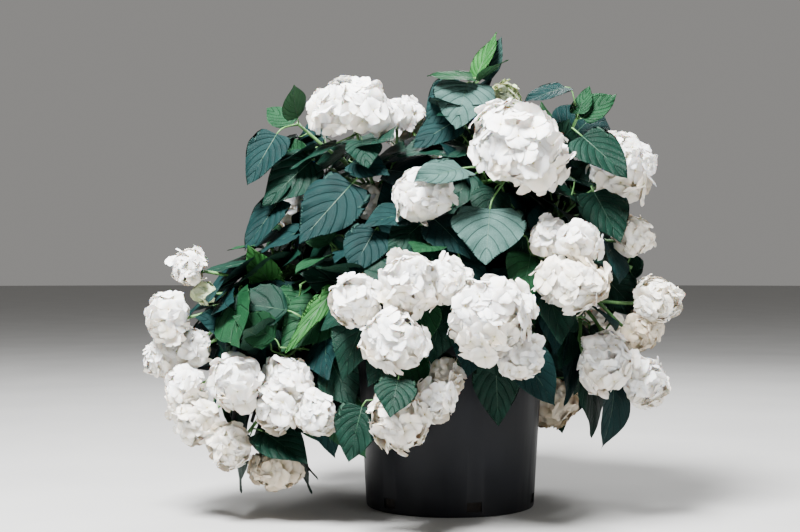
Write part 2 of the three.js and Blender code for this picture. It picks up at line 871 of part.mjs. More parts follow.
function massSolid(plant) {
  const { root, stemTip, ahead } = plant;
  const faces = leafFaces();
  const pieces = [
    limbSolid([root, stemTip], STEM.rootRadius, STEM.tipRadius, STEM.sides, ahead, ahead),
  ];
  for (const shoot of plant.shoots) {
    const { points, setOff, facing } = shoot;
    pieces.push(
      limbSolid(points, SHOOT.rootRadius, SHOOT.tipRadius, SHOOT.sides, setOff, facing),
    );
    if (shoot.width) pieces.push(headSolid(shoot, shoot.seed));
  }
  for (const leaf of [...plant.broad, ...plant.shoots.flatMap((shoot) => shoot.leaves)]) {
    pieces.push(solidOf(facesOf(leafCorners(leaf), faces)));
  }
  return mainBody(wasm.Manifold.union(pieces));
}

const shrub = new THREE.Group();
shrub.add(namedMesh("pot", geometryOf(potSolid()), COLOURS.pot));
shrub.add(namedMesh("potting_mix", geometryOf(mixSolid()), COLOURS.mix));
for (const plant of grow()) {
  const { footRadius, tipRadius, sides } = CANE;
  const cane = limbSolid(plant.cane, footRadius, tipRadius, sides, UP, plant.ahead);
  shrub.add(namedMesh(`cane_${plant.name}`, geometryOf(cane), COLOURS.cane));
  shrub.add(namedMesh(`mass_${plant.name}`, geometryOf(massSolid(plant)), COLOURS.foliage));
}

export default shrub;
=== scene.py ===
"""Looks of a white mophead hydrangea that grows in a black plastic nursery pot.

Metres, +Z up, with the origin in the middle of the pot's underside and -Y as the front. The plant
is grown by the rule of the part's source in millimetres, then carried to finer twigs and leaves.
"""

from __future__ import annotations

import logging
import math
from collections.abc import Callable, Iterable, Sequence
from dataclasses import dataclass, field
from enum import Enum
from functools import cache
from itertools import product

import bpy
import numpy as np
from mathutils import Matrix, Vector

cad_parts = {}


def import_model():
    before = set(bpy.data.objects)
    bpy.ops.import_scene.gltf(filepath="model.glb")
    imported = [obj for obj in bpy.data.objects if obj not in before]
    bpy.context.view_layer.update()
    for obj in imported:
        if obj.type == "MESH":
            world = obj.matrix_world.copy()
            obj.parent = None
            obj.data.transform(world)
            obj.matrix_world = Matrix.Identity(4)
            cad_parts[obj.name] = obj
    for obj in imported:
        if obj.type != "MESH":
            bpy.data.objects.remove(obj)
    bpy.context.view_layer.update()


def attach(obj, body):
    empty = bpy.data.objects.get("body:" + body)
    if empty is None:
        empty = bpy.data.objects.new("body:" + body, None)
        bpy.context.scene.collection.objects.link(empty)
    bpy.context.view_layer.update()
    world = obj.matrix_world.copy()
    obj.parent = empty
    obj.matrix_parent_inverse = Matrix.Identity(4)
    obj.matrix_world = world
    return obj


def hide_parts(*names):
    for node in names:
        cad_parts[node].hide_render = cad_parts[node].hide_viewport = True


log = logging.getLogger("hydrangea")

MM = 0.001
UP = np.array([0.0, 0.0, 1.0])
ACROSS = np.array([1.0, 0.0, 0.0])
FRONT = np.array([0.0, -1.0, 0.0])
LEVEL = np.array([1.0, 1.0, 0.0])

# The source's sizes in millimetres, and its shares. Leaves and heads face away from the heart.
HEART = np.array([0.0, 0.0, 330.0])
POT_HEIGHT, POT_FOOT_RADIUS, POT_FLARE = 300.0, 150.0, 18.0
MIX_TOP = 272.0
GAP = 0.3
INNER_RING, MIDDLE_RING, OUTER_RING = 36.0, 60.0, 92.0
CANE_FOOT_RADIUS, CANE_TIP_RADIUS = 8.0, 4.8
STEM_LIFT, STEM_SHARE = 0.45, 0.5
FORK_FIRST, FORK_SPAN = 0.3, 0.68
SHOOT_ASIDE, SHOOT_STEP, SHOOT_BEND = 1.95, 75, 0.36
HEAD_ABOVE, HEAD_BELOW, HEAD_SUNK = 0.46, 0.33, 0.22
LEAF_LENGTH, LEAF_LENGTH_SPREAD, LEAF_WIDTH_SHARE = 148.0, 0.3, 0.76
PETIOLE, NECK_HALF_WIDTH, LEAF_HALF_THICKNESS = 30, 2.4, 1.2
SHOULDER_AT, CHEEK_AT, MIDDLE_AT = 0.28, 0.66, 0.42
FIRST_NODE, NODE_SPACING = 24, 61.0
PAIRS_MOST, TRIES_MOST = 4, 6
MASS_SEED, END_SEED = 7919, 1049
CUBE, SAMPLE_STEP = 7.0, 5.0
GROUND_CLEARANCE, POT_CLEARANCE, RIM_CLEARANCE = 14, 13, 8
MOST_CROWDED, MOST_IN_HEAD = 0.08, 0.02
BROAD_CROWDED, BROAD_IN_HEAD = 0.5, 0.5

Point = np.ndarray
RGB = tuple[float, float, float]
Face = tuple[int, ...]
Marks = tuple[tuple[float, float], ...]
Piece, Material = bpy.types.Object, bpy.types.Material
NodeTree, Node, Socket = bpy.types.NodeTree, bpy.types.Node, bpy.types.NodeSocket


class LeafTone(Enum):
    """The greens of the leaves, each with a piece and a finish of its own."""

    DEEP = "deep"
    GLAUCOUS = "glaucous"
    # Sunlit: a lighter green that paints sunlight and sheen on the leaves it is given to.
    PALE = "pale"
    MID = "mid"
    FRESH = "fresh"


class LeafKind(Enum):
    """The ways a leaf comes, each with a mesh of its own: broad, grown on a shoot, or fine."""

    BROAD = "broad"
    GROWN = "grown"
    FINE = "fine"


class HeadTone(Enum):
    """The whites of the flower heads: full, cream, unripe and aged.

    The cream is painted shade on heads and florets that lie in shade; the aged one is partly
    browning with age and partly painted shade.
    """

    WHITE = "white"
    CREAM = "cream"
    GREENISH = "greenish"
    FADED = "faded"


# Small vector helpers


def unit(vector: Point) -> Point:
    """Give a vector at length one."""
    return vector / np.linalg.norm(vector)


def blend(low: float | Point, high: float | Point, share: float) -> float | Point:
    """Give the value or point at a share of the way from one to another."""
    return low + (high - low) * share


def flattened(vector: Point, normal: Point) -> Point:
    """Give a vector without its part along a unit normal."""
    return vector - normal * float(vector @ normal)


def square_to(direction: Point) -> tuple[Point, Point]:
    """Give two directions square to a limb, the first of them level.

    Args:
        direction: The limb's unit direction.

    Returns:
        The level direction and the other one.
    """
    steep = 0.96
    level = np.cross(direction, UP)
    if abs(direction[2]) > steep:
        level = flattened(ACROSS, direction)
    level = unit(level)
    return level, unit(np.cross(level, direction))


def curve_points(start: Point, pull: Point, end_pull: Point, end: Point, steps: int) -> Point:
    """Give evenly stepped points of a cubic curve.

    Args:
        start: First point.
        pull: Control point of the start.
        end_pull: Control point of the end.
        end: Last point.
        steps: Number of steps.

    Returns:
        The points, one in each row.
    """
    t = (np.arange(steps + 1) / steps)[:, None]
    k = 1 - t
    return k**3 * start + 3 * k**2 * t * pull + 3 * k * t**2 * end_pull + t**3 * end


def length_of(points: Point) -> float:
    """Give the length of a line of points."""
    return float(np.linalg.norm(np.diff(points, axis=0), axis=1).sum())


def station_on(points: Point, distance: float) -> tuple[Point, Point]:
    """Find a place along a line of points.

    Args:
        points: The line's points.
        distance: Distance from its first point.

    Returns:
        The point there and the line's direction.
    """
    left = distance
    last = len(points) - 1
    for i in range(1, last + 1):
        way = points[i] - points[i - 1]
        step = float(np.linalg.norm(way))
        if left <= step or i == last:
            return points[i - 1] + way / step * min(left, step), way / step
        left -= step
    raise ValueError("a line needs two points")


def line_samples(points: Point) -> Point:
    """Give points close together along a line.

    Args:
        points: The line's points.

    Returns:
        Points from end to end, no further apart than a step.
    """
    length = length_of(points)
    steps = max(1, math.ceil(length / SAMPLE_STEP))
    return np.array([station_on(points, length * i / steps)[0] for i in range(steps + 1)])


class Draws:
    """Numbers from 0 to 1 that repeat for the same seed, as the part's source draws them."""

    factor, step, span = 1664525, 1013904223, 2**32

    def __init__(self, seed: int) -> None:
        """Start from a seed and drop the first number."""
        self.state = seed % self.span
        self()

    def __call__(self) -> float:
        """Draw the next number."""
        self.state = (self.state * self.factor + self.step) % self.span
        return self.state / self.span


# The plant's plan, as the source has it


@dataclass(frozen=True)
class End:
    """A shoot's end: a flower head, or a leafy tip where the width is nought.

    Florets fill a head's solid only up to its share of height, as some heads are squat.
    """

    centre: Point
    width: float
    roll: float | None = None
    rise: float | None = None
    tone: HeadTone = HeadTone.WHITE
    tall: float = 1.0

    @property
    def squat(self) -> Point:
        """The share of each direction's reach that the florets fill."""
        return np.array([1.0, 1.0, self.tall])


@dataclass(frozen=True)
class Blade:
    """A broad leaf that shows well on its own, from the foot of its blade to the tip."""

    foot: Point
    tip: Point
    face: Point
    wide: float
    tone: LeafTone = LeafTone.GLAUCOUS


@dataclass(frozen=True)
class MassPlan:
    """One mass: its ring, the fork at its cane's tip, its shoot ends and broad leaves.

    The extra leaves are broad ones that only the looks have, between the source's.
    """

    name: str
    ring: float
    fork: Point
    ends: tuple[End, ...]
    blades: tuple[Blade, ...] = ()
    extra: tuple[Blade, ...] = ()


def place(right: float, up: float, forward: float) -> Point:
    """Give a point by its distance right, up and forward of the pot's axis."""
    return np.array([float(right), -float(forward), float(up)])


def head(
    right: float,
    up: float,
    forward: float,
    width: float,
    roll: float | None = None,
    rise: float | None = None,
    tone: HeadTone = HeadTone.WHITE,
    tall: float = 1.0,
) -> End:
    """Give a flower head at a place."""
    return End(place(right, up, forward), width, roll, rise, tone, tall)


def leafy_tip(right: float, up: float, forward: float) -> End:
    """Give a leafy tip at a place."""
    return head(right, up, forward, 0.0)


def blade(
    foot: tuple[float, float, float],
    tip: tuple[float, float, float],
    face: tuple[float, float, float] = (0.0, 0.65, 1.0),
    wide: float = 0.78,
    tone: LeafTone = LeafTone.GLAUCOUS,
) -> Blade:
    """Give a broad leaf by two places, the way its upper side faces and its share of width."""
    return Blade(place(*foot), place(*tip), place(*face), wide, tone)


def spread(
    bearing: float,
    up: float,
    reach: float,
    rise: float,
    widths: Sequence[float],
) -> list[End]:
    """Spread flower heads evenly about a bearing, by turns off their level.

    Args:
        bearing: Middle bearing from the front, in degrees.
        up: Level of the heads.
        reach: Distance from the pot's axis.
        rise: How far each is off the level, up and down by turns.
        widths: Width of each head.

    Returns:
        The heads.
    """
    turn_step = 24
    ends = []
    for i, width in enumerate(widths):
        turn = math.radians(bearing + turn_step * (i - (len(widths) - 1) / 2))
        level = up + (-rise if i % 2 else rise)
        ends.append(head(math.sin(turn) * reach, level, math.cos(turn) * reach, width))
    return ends


CREAM, GREENISH, FADED = HeadTone.CREAM, HeadTone.GREENISH, HeadTone.FADED
DEEP, GLAUCOUS, PALE = LeafTone.DEEP, LeafTone.GLAUCOUS, LeafTone.PALE
MID, FRESH = LeafTone.MID, LeafTone.FRESH

# Heads that lie in shade are given the cream tone, which paints their shade.
MASSES: tuple[MassPlan, ...] = (
    MassPlan(
        "top",
        INNER_RING,
        place(45, 520, 70),
        (
            head(102, 616, 230, 184, rise=1.7),
            head(96, 722, 40, 64, tone=GREENISH),
            leafy_tip(35, 744, 116),
        ),
        (
            # The sunlit blades have sunlight and sheen painted into their green.
            blade((57, 521, 238), (46, 434, 312), (0, 0.75, 1), 0.96, PALE),
            blade((26, 741, 130), (2, 660, 190), (0, 0.9, 1), 0.92, PALE),
            blade((35, 750, 128), (-44, 755, 150), (0, 1, 0.5), 0.62, MID),
            blade((41, 753, 116), (75, 837, 95), (-1, 0.2, 0.8), 0.5, FRESH),
            blade((48, 752, 110), (88, 825, 85), (0.6, 0.3, -1), 0.5),
            blade((5, 678, 110), (-70, 632, 140), (-0.1, 0.8, 1), 0.7),
            blade((21, 743, 98), (-47, 671, 112), (-0.2, 0.6, 1), 0.8),
        ),
        (blade((12, 588, 240), (-68, 566, 310), (0, 1, 0.7), 0.7, PALE),),
    ),
    MassPlan(
        "upper_left",
        INNER_RING,
        place(-105, 480, 45),
        (
            head(-174, 690, 120, 146, rise=3, tall=0.78),
            head(-102, 684, 70, 80, rise=2),
            head(-139, 541, 60, 78, tone=CREAM),
            leafy_tip(-272, 680, 60),
            leafy_tip(-262, 592, 80),
        ),
        (
            blade((-171, 567, 160), (-259, 469, 210), (-0.2, 0.5, 1), 0.72),
            blade((-304, 657, 92), (-354, 569, 125), (-0.35, 0.5, 1), 0.66),
            blade((-297, 543, 92), (-361, 457, 120), (-0.7, 0.5, 0.9), 0.66),
            blade((-171, 604, 150), (-108, 583, 192), (0, 0.8, 1), 0.74),
            blade((-154, 640, 165), (-143, 592, 215), (0, 0.8, 1), 0.8, DEEP),
            blade((-199, 638, 130), (-282, 598, 120), (0.2, 1, 0.3), 0.6, DEEP),
        ),
        (blade((-242, 611, 100), (-329, 534, 120), (-0.3, 0.6, 1), 0.75, DEEP),),
    ),
    MassPlan(
        "upper_right",
        INNER_RING,
        place(135, 460, 40),
        (
            head(286, 598, 100, 142),
            head(307, 480, 110, 80, tone=CREAM),
            leafy_tip(220, 690, 85),
            leafy_tip(318, 425, 60),
        ),
        (
            blade((217, 647, 165), (288, 577, 215), (0.1, 0.9, 1), 0.72, DEEP),
            blade((240, 554, 140), (280, 470, 192), (0.2, 0.6, 1), 0.8, DEEP),
            blade((198, 740, 80), (121, 713, 125), (-0.2, 1, 0.6), 0.62),
            blade((219, 692, 95), (242, 748, 60), (-0.6, 0.2, 1), 0.5, MID),
            blade((226, 685, 92), (289, 732, 75), (0.1, 0.9, 0.8), 0.62, MID),
            blade((318, 452, 60), (296, 392, 20), tone=DEEP),
        ),
        (
            blade((205, 575, 30), (285, 602, 25), (0, 0.6, 1), 0.8, DEEP),
            blade((270, 405, 85), (332, 338, 105), (0.3, 0.4, 1), 0.8, DEEP),
        ),
    ),
    MassPlan(
        "centre_left",
        MIDDLE_RING,
        place(-60, 410, 110),
        (head(-54, 543, 230, 104), leafy_tip(-205, 455, 170), leafy_tip(-30, 470, 225)),
        (
            blade((-131, 488, 205), (-171, 418, 255), (-0.1, 0.6, 1), 0.78),
            blade((-57, 496, 200), (-110, 451, 245), (0, 0.7, 1), 0.72, DEEP),
        ),
    ),
    MassPlan(
        "front_centre",
        OUTER_RING,
        place(15, 385, 150),
        (
            head(-159, 373, 330, 94),
            head(-96, 312, 365, 117, tall=0.82),
            head(-74, 400, 350, 102),
            head(-15, 406, 330, 84, tall=0.86),
            head(50, 347, 350, 143),
            head(101, 284, 320, 73, roll=0),
        ),
        (
            blade((66, 278, 242), (71, 165, 240), (0, 0.3, 1), 0.64, DEEP),
            blade((-93, 254, 388), (-104, 205, 446), tone=DEEP),
        ),
    ),
    MassPlan(
        "front_low",
        OUTER_RING,
        place(-75, 352, 165),
        (
            head(-92, 188, 335, 106, roll=0, tone=CREAM),
            head(-38, 218, 312, 74),
            head(-21, 250, 262, 68, tone=CREAM),
        ),
        (blade((-150, 206, 318), (-172, 120, 332), (-0.2, 0.4, 1), tone=DEEP),),
    ),
    MassPlan(
        "right_middle",
        MIDDLE_RING,
        place(105, 400, 130),
        (
            head(155, 473, 240, 76),
            head(199, 465, 270, 78),
            head(185, 399, 290, 134, tone=CREAM, tall=0.6),
        ),
    ),
    MassPlan(
        "right_side",
        OUTER_RING,
        place(175, 365, 75),
        (
            head(245, 270, 220, 108),
            head(321, 231, 170, 92),
            head(346, 370, 130, 98, tone=CREAM, tall=0.82),
            head(322, 318, 120, 76, tone=FADED),
        ),
    ),
    MassPlan(
        "left_inner",
        OUTER_RING,
        place(-165, 350, 110),
        (
            head(-356, 238, 230, 105, tall=0.88),
            head(-270, 240, 220, 96, tall=0.82),
            head(-290, 195, 230, 84),
            head(-223, 188, 260, 76),
            leafy_tip(-268, 325, 200),
        ),
        (
            blade((-250, 384, 150), (-300, 356, 202), tone=MID),
            blade((-214, 363, 190), (-286, 290, 232), tone=MID),
        ),
        (blade((-197, 392, 215), (-279, 289, 262), (0.3, 1, 0.3), 0.26, FRESH),),
    ),
    MassPlan(
        "left_upper",
        OUTER_RING,
        place(-190, 400, 55),
        (
            head(-451, 426, 120, 72),
            head(-428, 381, 100, 46, tone=GREENISH),
            head(-479, 340, 150, 92),
            head(-447, 287, 110, 82),
            head(-500, 268, 120, 66),
            leafy_tip(-318, 462, 50),
        ),
        (
            blade((-306, 390, 140), (-347, 461, 175), (-0.4, 0.2, 1), 0.62, FRESH),
            blade((-318, 372, 118), (-403, 355, 128), tone=MID),
            blade((-356, 326, 160), (-430, 345, 198)),
        ),
    ),
    MassPlan(
        "left_lower",
        OUTER_RING,
        place(-200, 345, -8),
        (
            head(-449, 222, 165, 82),
            head(-432, 172, 170, 92, tone=CREAM),
            head(-371, 129, 195, 82, tone=CREAM),
            head(-297, 85, 150, 104, tone=FADED, tall=0.66),
        ),
        extra=(blade((-319, 152, 190), (-240, 108, 235), (0.1, 0.9, 0.5), 0.85, DEEP),),
    ),
    MassPlan(
        "back_top",
        INNER_RING,
        place(-25, 500, -60),
        (*spread(185, 655, 190, 42, [128, 118]), head(-75, 690, -90, 96)),
    ),
    MassPlan(
        "back_left",
        MIDDLE_RING,
        place(-150, 430, -60),
        (*spread(230, 500, 300, 42, [118, 98, 108]), leafy_tip(-250, 610, -90)),
    ),
    MassPlan(
        "back_middle",
        MIDDLE_RING,
        place(10, 420, -150),
        tuple(spread(182, 452, 345, -42, [124, 136, 104])),
    ),
    MassPlan(
        "back_right",
        MIDDLE_RING,
        place(150, 430, -70),
        (*spread(134, 500, 300, 42, [96, 118, 92]), leafy_tip(190, 640, -80)),
    ),
    MassPlan(
        "back_low_left",
        OUTER_RING,
        place(-125, 350, -140),
        tuple(spread(222, 250, 350, 42, [108, 92, 116, 86])),
    ),
    MassPlan(
        "back_low_right",
        OUTER_RING,
        place(125, 350, -115),
        (*spread(142, 252, 335, 42, [112, 88, 104]), head(194, 176, -60, 92, tone=FADED)),
    ),
)


# Growth, by the source's rule


@dataclass
class Leaf:
    """One leaf: its stalk's root and joint, and the frame, size and bend of its blade."""

    root: Point
    joint: Point
    direction: Point
    normal: Point
    side: Point
    length: float
    width: float
    curl: float
    fold: float
    tone: LeafTone = LeafTone.DEEP
    kind: LeafKind = LeafKind.GROWN


@dataclass
class Shoot:
    """A green shoot from its mass's stem to a flower head or a leafy tip."""

    end: End
    facing: Point
    points: Point
    seed: int = 0
    offered: list[list[Leaf]] = field(default_factory=list)
    leaves: list[Leaf] = field(default_factory=list)


@dataclass
class Twig:
    """A fine side twig that the source leaves out."""

    points: Point
    leaves: list[Leaf]


@dataclass
class Plant:
    """A grown mass with its cane."""

    name: str
    owner: int
    cane: Point
    root: Point
    stem_tip: Point
    shoots: list[Shoot]
    broad: list[Leaf]
    twigs: list[Twig] = field(default_factory=list)

    @property
    def half(self) -> str:
        """The half of the shrub that the mass belongs to."""
        return "back" if self.name.startswith("back") else "front"

    @property
    def headed(self) -> list[Shoot]:
        """The shoots that end in a flower head."""
        return [shoot for shoot in self.shoots if shoot.end.width]

    def leaves(self) -> list[Leaf]:
        """Give every leaf of the mass."""
        limbs = [*self.shoots, *self.twigs]
        return [*self.broad, *(leaf for limb in limbs for leaf in limb.leaves)]


def half_width(share: Point) -> Point:
    """Give a leaf's half width, for a leaf one wide.

    Args:
        share: Share of its length from the foot.

    Returns:
        The half width there.
    """
    rise, fall = 0.5, 0.85
    broadest = rise / (rise + fall)
    inside = np.clip(share, 0.0, 1.0)
    shape = inside**rise * (1 - inside) ** fall
    return 0.5 * shape / (broadest**rise * (1 - broadest) ** fall)


def blade_points(leaf: Leaf, share: Point, across: Point) -> Point:
    """Give points of a leaf's blade.

    Args:
        leaf: The leaf.
        share: Shares of its length.
        across: From -1 at one margin to 1 at the other, of the same shape.

    Returns:
        The points, with their three numbers along a new last axis.
    """
    share = np.asarray(share, float)[..., None]
    across = np.asarray(across, float)[..., None]
    half = half_width(share) * leaf.width
    points = leaf.joint + leaf.direction * leaf.length * share
    points = points - leaf.normal * (leaf.curl * leaf.length * share * share)
    return points + leaf.side * (half * across) + leaf.normal * (leaf.fold * half * abs(across))


def pot_radius_at(height: Point) -> Point:
    """Give the pot's outer radius at a height."""
    share = np.clip(np.asarray(height) / POT_HEIGHT, 0.0, 1.0)
    return POT_FOOT_RADIUS + POT_FLARE * share


def outward_from(point: Point) -> Point:
    """Give the way out from the heart of the shrub, more level than straight."""
    return unit((point - HEART) * np.array([1.0, 1.0, 0.5]))


def first_node(end: End) -> float:
    """Give how far a shoot's first pair of leaves stands back from its end."""
    at_tip, under_head = 4.0, 0.4
    return FIRST_NODE + HEAD_BELOW * end.width * under_head if end.width else at_tip


def head_reach(width: float, up_share: Point) -> Point:
    """Give how far a flower head reaches from its centre.

    Args:
        width: The head's width.
        up_share: Share of a direction that lies along the head's facing.

    Returns:
        The reach in that direction.
    """
    up_share = np.asarray(up_share, float)
    deep = width * np.where(up_share > 0, HEAD_ABOVE, HEAD_BELOW)
    flat = np.sqrt(np.maximum(0.0, 1 - up_share**2))
    return 1 / np.hypot(flat / (width / 2), up_share / deep)


def in_head(points: Point, shoot: Shoot) -> Point:
    """Tell which points lie inside a flower head.

    Args:
        points: The points.
        shoot: The head's shoot.

    Returns:
        Whether each of them does.
    """
    offset = points - shoot.end.centre
    distance = np.maximum(np.linalg.norm(offset, axis=1), 1e-9)
    inner = distance < head_reach(shoot.end.width, offset @ shoot.facing / distance)
    return inner & (distance <= shoot.end.width / 2)


def leaf_samples(leaf: Leaf) -> Point:
    """Give points close together over a leaf as the source draws it.

    Args:
        leaf: The leaf.

    Returns:
        Points over its blade and stalk.
    """
    share = np.array([SHOULDER_AT, CHEEK_AT, 1.0, CHEEK_AT, SHOULDER_AT])
    ring = blade_points(leaf, share, np.array([-1.0, -1.0, 0.0, 1.0, 1.0]))
    neck = leaf.side * NECK_HALF_WIDTH
    corners = np.vstack([leaf.root, leaf.joint - neck, ring, leaf.joint + neck])
    middle = blade_points(leaf, np.array(MIDDLE_AT), np.array(0.0))
    middle = middle + leaf.normal * LEAF_HALF_THICKNESS
    samples = [line_samples(np.vstack([leaf.root, leaf.joint]))]
    for i, a in enumerate(corners):
        b = corners[(i + 1) % len(corners)]
        longest = max(math.dist(a, b), math.dist(a, middle), math.dist(b, middle))
        steps = math.ceil(longest / SAMPLE_STEP)
        j, k = np.meshgrid(np.arange(steps + 1), np.arange(steps + 1), indexing="ij")
        keep = j + k <= steps
        j, k = j[keep][:, None] / steps, k[keep][:, None] / steps
        samples.append(middle * (1 - j - k) + a * j + b * k)
    return np.vstack(samples)


def head_samples(shoot: Shoot) -> Point:
    """Give points close together over a flower head.

    Args:
        shoot: The head's shoot.

    Returns:
        Points over its surface.
    """
    level, other = square_to(shoot.facing)
    width = shoot.end.width
    rings = math.ceil(math.pi * width / 2 / SAMPLE_STEP)
    samples = []
    for i in range(rings + 1):
        tilt = math.pi * i / rings
        around = max(1, math.ceil(math.pi * width * math.sin(tilt) / SAMPLE_STEP))
        turn = (2 * math.pi * np.arange(around) / around)[:, None]
        reach = float(head_reach(width, math.cos(tilt)))
        ring = shoot.end.centre + shoot.facing * math.cos(tilt) * reach
        ring = ring + level * (math.sin(tilt) * np.cos(turn) * reach)
        samples.append(ring + other * (math.sin(tilt) * np.sin(turn) * reach))
    return np.vstack(samples)


class Space:
    """The space the shrub may fill, as cubes with a bit for each owner in or beside them."""

    low = np.array([-620.0, -520.0, -20.0])
    cubes = np.array([180, 150, 130])
    margin_most = 2

    def __init__(self) -> None:
        """Start with every cube free."""
        self.beside = np.zeros(self.cubes, np.int32)
        self.leafy = np.zeros(self.cubes, np.uint8)

    def cube_of(self, points: Point) -> tuple[Point, Point, Point]:
        """Give the cubes that hold the points."""
        cube = np.floor((points - self.low) / CUBE).astype(int)
        return tuple(np.clip(cube, self.margin_most, self.cubes - self.margin_most - 1).T)

    def claim(self, points: Point, owner: int, margin: int = 1) -> None:
        """Mark an owner on the cubes of the points and those beside them.

        Args:
            points: The points.
            owner: Number of the owner.
            margin: How many cubes beside each are marked too.
        """
        x, y, z = self.cube_of(points)
        for i, j, k in product(range(-margin, margin + 1), repeat=3):
            self.beside[x + i, y + j, z + k] |= 1 << owner

    def claim_leaf(self, points: Point, owner: int) -> None:
        """Mark an owner's leaf."""
        self.claim(points, owner)
        self.leafy[self.cube_of(points)] = 1

    def meets_other(self, points: Point, owner: int) -> bool:
        """Tell whether a point lies in or beside another owner's cube."""
        return bool(np.any(self.beside[self.cube_of(points)] & ~(1 << owner)))

    def crowding(self, points: Point) -> float:
        """Give the share of the points that lie in a leafy cube."""
        return float(self.leafy[self.cube_of(points)].mean())


def meets_pot_or_ground(points: Point) -> bool:
    """Tell whether a leaf comes too near the pot or the ground.

    Args:
        points: Points of the leaf.

    Returns:
        Whether one of them does.
    """
    height = points[:, 2]
    radius = np.hypot(points[:, 0], points[:, 1])
    inside = radius < pot_radius_at(height) + POT_CLEARANCE
    beside = inside & (height < POT_HEIGHT + RIM_CLEARANCE)
    return bool(np.any(beside | (height < GROUND_CLEARANCE)))


@dataclass
class Growth:
    """Grows the shrub: canes, shoots and heads first, then the leaves."""

    masses: Sequence[MassPlan]
    space: Space = field(default_factory=Space)
    plants: list[Plant] = field(default_factory=list)

    def grow(self) -> list[Plant]:
        """Grow all the masses.

        Returns:
            The grown masses.
        """
        for index, mass in enumerate(self.masses):
            self.plants.append(self.limbs_of(mass, index + 1))
        for plant in self.plants:
            plant.broad = [
                leaf
                for leaf in plant.broad
                if self.fits(leaf, plant, BROAD_CROWDED, BROAD_IN_HEAD)
            ]
            for leaf in plant.broad:
                self.space.claim_leaf(leaf_samples(leaf), plant.owner)
        for slot in range(2 * PAIRS_MOST):
            for plant in self.plants:
                for shoot in plant.shoots:
                    self.set_leaf(plant, shoot, slot)
        for mass, plant in zip(self.masses, self.plants, strict=True):
            for planned in mass.extra:
                plant.broad.append(self.broad_leaf(planned, plant.shoots))
                self.space.claim_leaf(leaf_samples(plant.broad[-1]), plant.owner)
        return self.plants

    def set_leaf(self, plant: Plant, shoot: Shoot, slot: int) -> None:
        """Keep the first of a slot's tries that fits.

        Args:
            plant: The mass.
            shoot: Its shoot.
            slot: Number of the leaf on the shoot.
        """
        if slot >= len(shoot.offered):
            return
        for tried in shoot.offered[slot]:
            if self.fits(tried, plant, MOST_CROWDED, MOST_IN_HEAD):
                self.space.claim_leaf(leaf_samples(tried), plant.owner)
                shoot.leaves.append(tried)
                return

    def fits(self, leaf: Leaf, plant: Plant, crowded: float, hidden: float) -> bool:
        """Tell whether a leaf keeps clear of the pot, ground, heads and other masses.

        Args:
            leaf: The leaf.
            plant: Its mass.
            crowded: Share of it that may lie in a leafy cube.
            hidden: Share of it that may lie in the mass's own heads.

        Returns:
            Whether it fits.
        """
        samples = leaf_samples(leaf)
        if meets_pot_or_ground(samples):
            return False
        inside = np.zeros(len(samples), bool)
        for shoot in plant.headed:
            inside |= in_head(samples, shoot)
        if inside.mean() > hidden or self.space.crowding(samples) > crowded:
            return False
        return not self.space.meets_other(samples, plant.owner)

    def limbs_of(self, mass: MassPlan, owner: int) -> Plant:
        """Grow a mass's cane, stem, shoots and heads, and offer its leaves.

        Args:
            mass: The plan of the mass.
            owner: Its number.

        Returns:
            The mass without its leaves.
        """
        centre = sum(end.centre for end in mass.ends) / len(mass.ends)
        ahead = unit(unit(centre - mass.fork) + UP * STEM_LIFT)
        root = mass.fork + ahead * GAP
        stem_tip = root + ahead * (STEM_SHARE * math.dist(centre, mass.fork))
        cane = self.cane_of(mass, ahead)
        shoots = []
        for number, end in enumerate(mass.ends, 1):
            fork = blend(root, stem_tip, FORK_FIRST + FORK_SPAN * number / len(mass.ends))
            shoots.append(self.shoot_to(end, fork, ahead, MASS_SEED * owner + END_SEED * number))
        self.space.claim(line_samples(cane), 0, 2)
        self.space.claim(line_samples(np.vstack([root, stem_tip])), owner)
        for shoot in shoots:
            self.space.claim(line_samples(shoot.points), owner)
            if shoot.end.width:
                self.space.claim(head_samples(shoot), owner)
        broad = [self.broad_leaf(planned, shoots) for planned in mass.blades]
        return Plant(mass.name, owner, cane, root, stem_tip, shoots, broad)

    @staticmethod
    def cane_of(mass: MassPlan, ahead: Point) -> Point:
        """Grow a mass's cane, upright out of the mix and then over.

        Args:
            mass: The plan of the mass.
            ahead: The stem's direction at the cane's tip.

        Returns:
            The line of the cane.
        """
        upright, over, steps = 0.4, 0.34, 12
        foot = unit(mass.fork * LEVEL) * mass.ring
        foot[2] = MIX_TOP + GAP
        reach = math.dist(mass.fork, foot)
        pulls = (foot + UP * reach * upright, mass.fork - ahead * reach * over)
        return curve_points(foot, *pulls, mass.fork, steps)

    def shoot_to(self, end: End, fork: Point, ahead: Point, seed: int) -> Shoot:
        """Grow a shoot to its end and offer its leaves.

        Args:
            end: The shoot's end.
            fork: Where it leaves the stem.
            ahead: The stem's direction.
            seed: Seed of its leaves.

        Returns:
            The shoot.
        """
        level_at, span = 300, 330
        rise = end.rise
        if rise is None:
            rise = min(1.0, max(-0.3, (end.centre[2] - level_at) / span))
        facing = unit(unit((end.centre - HEART) * LEVEL) + UP * rise)
        finish = end.centre - facing * HEAD_SUNK * end.width
        reach = finish - fork
        start = fork + unit(flattened(reach, ahead)) * SHOOT_ASIDE
        set_off = unit(ahead + unit(reach) * 0.9)
        far = float(np.linalg.norm(reach))
        pull = SHOOT_BEND * far
        steps = max(3, math.floor(far / SHOOT_STEP + 0.5))
        line = (start, start + set_off * pull, finish - facing * pull, finish)
        shoot = Shoot(end, facing, curve_points(*line, steps), seed)
        shoot.offered = self.leaves_of(shoot)
        return shoot

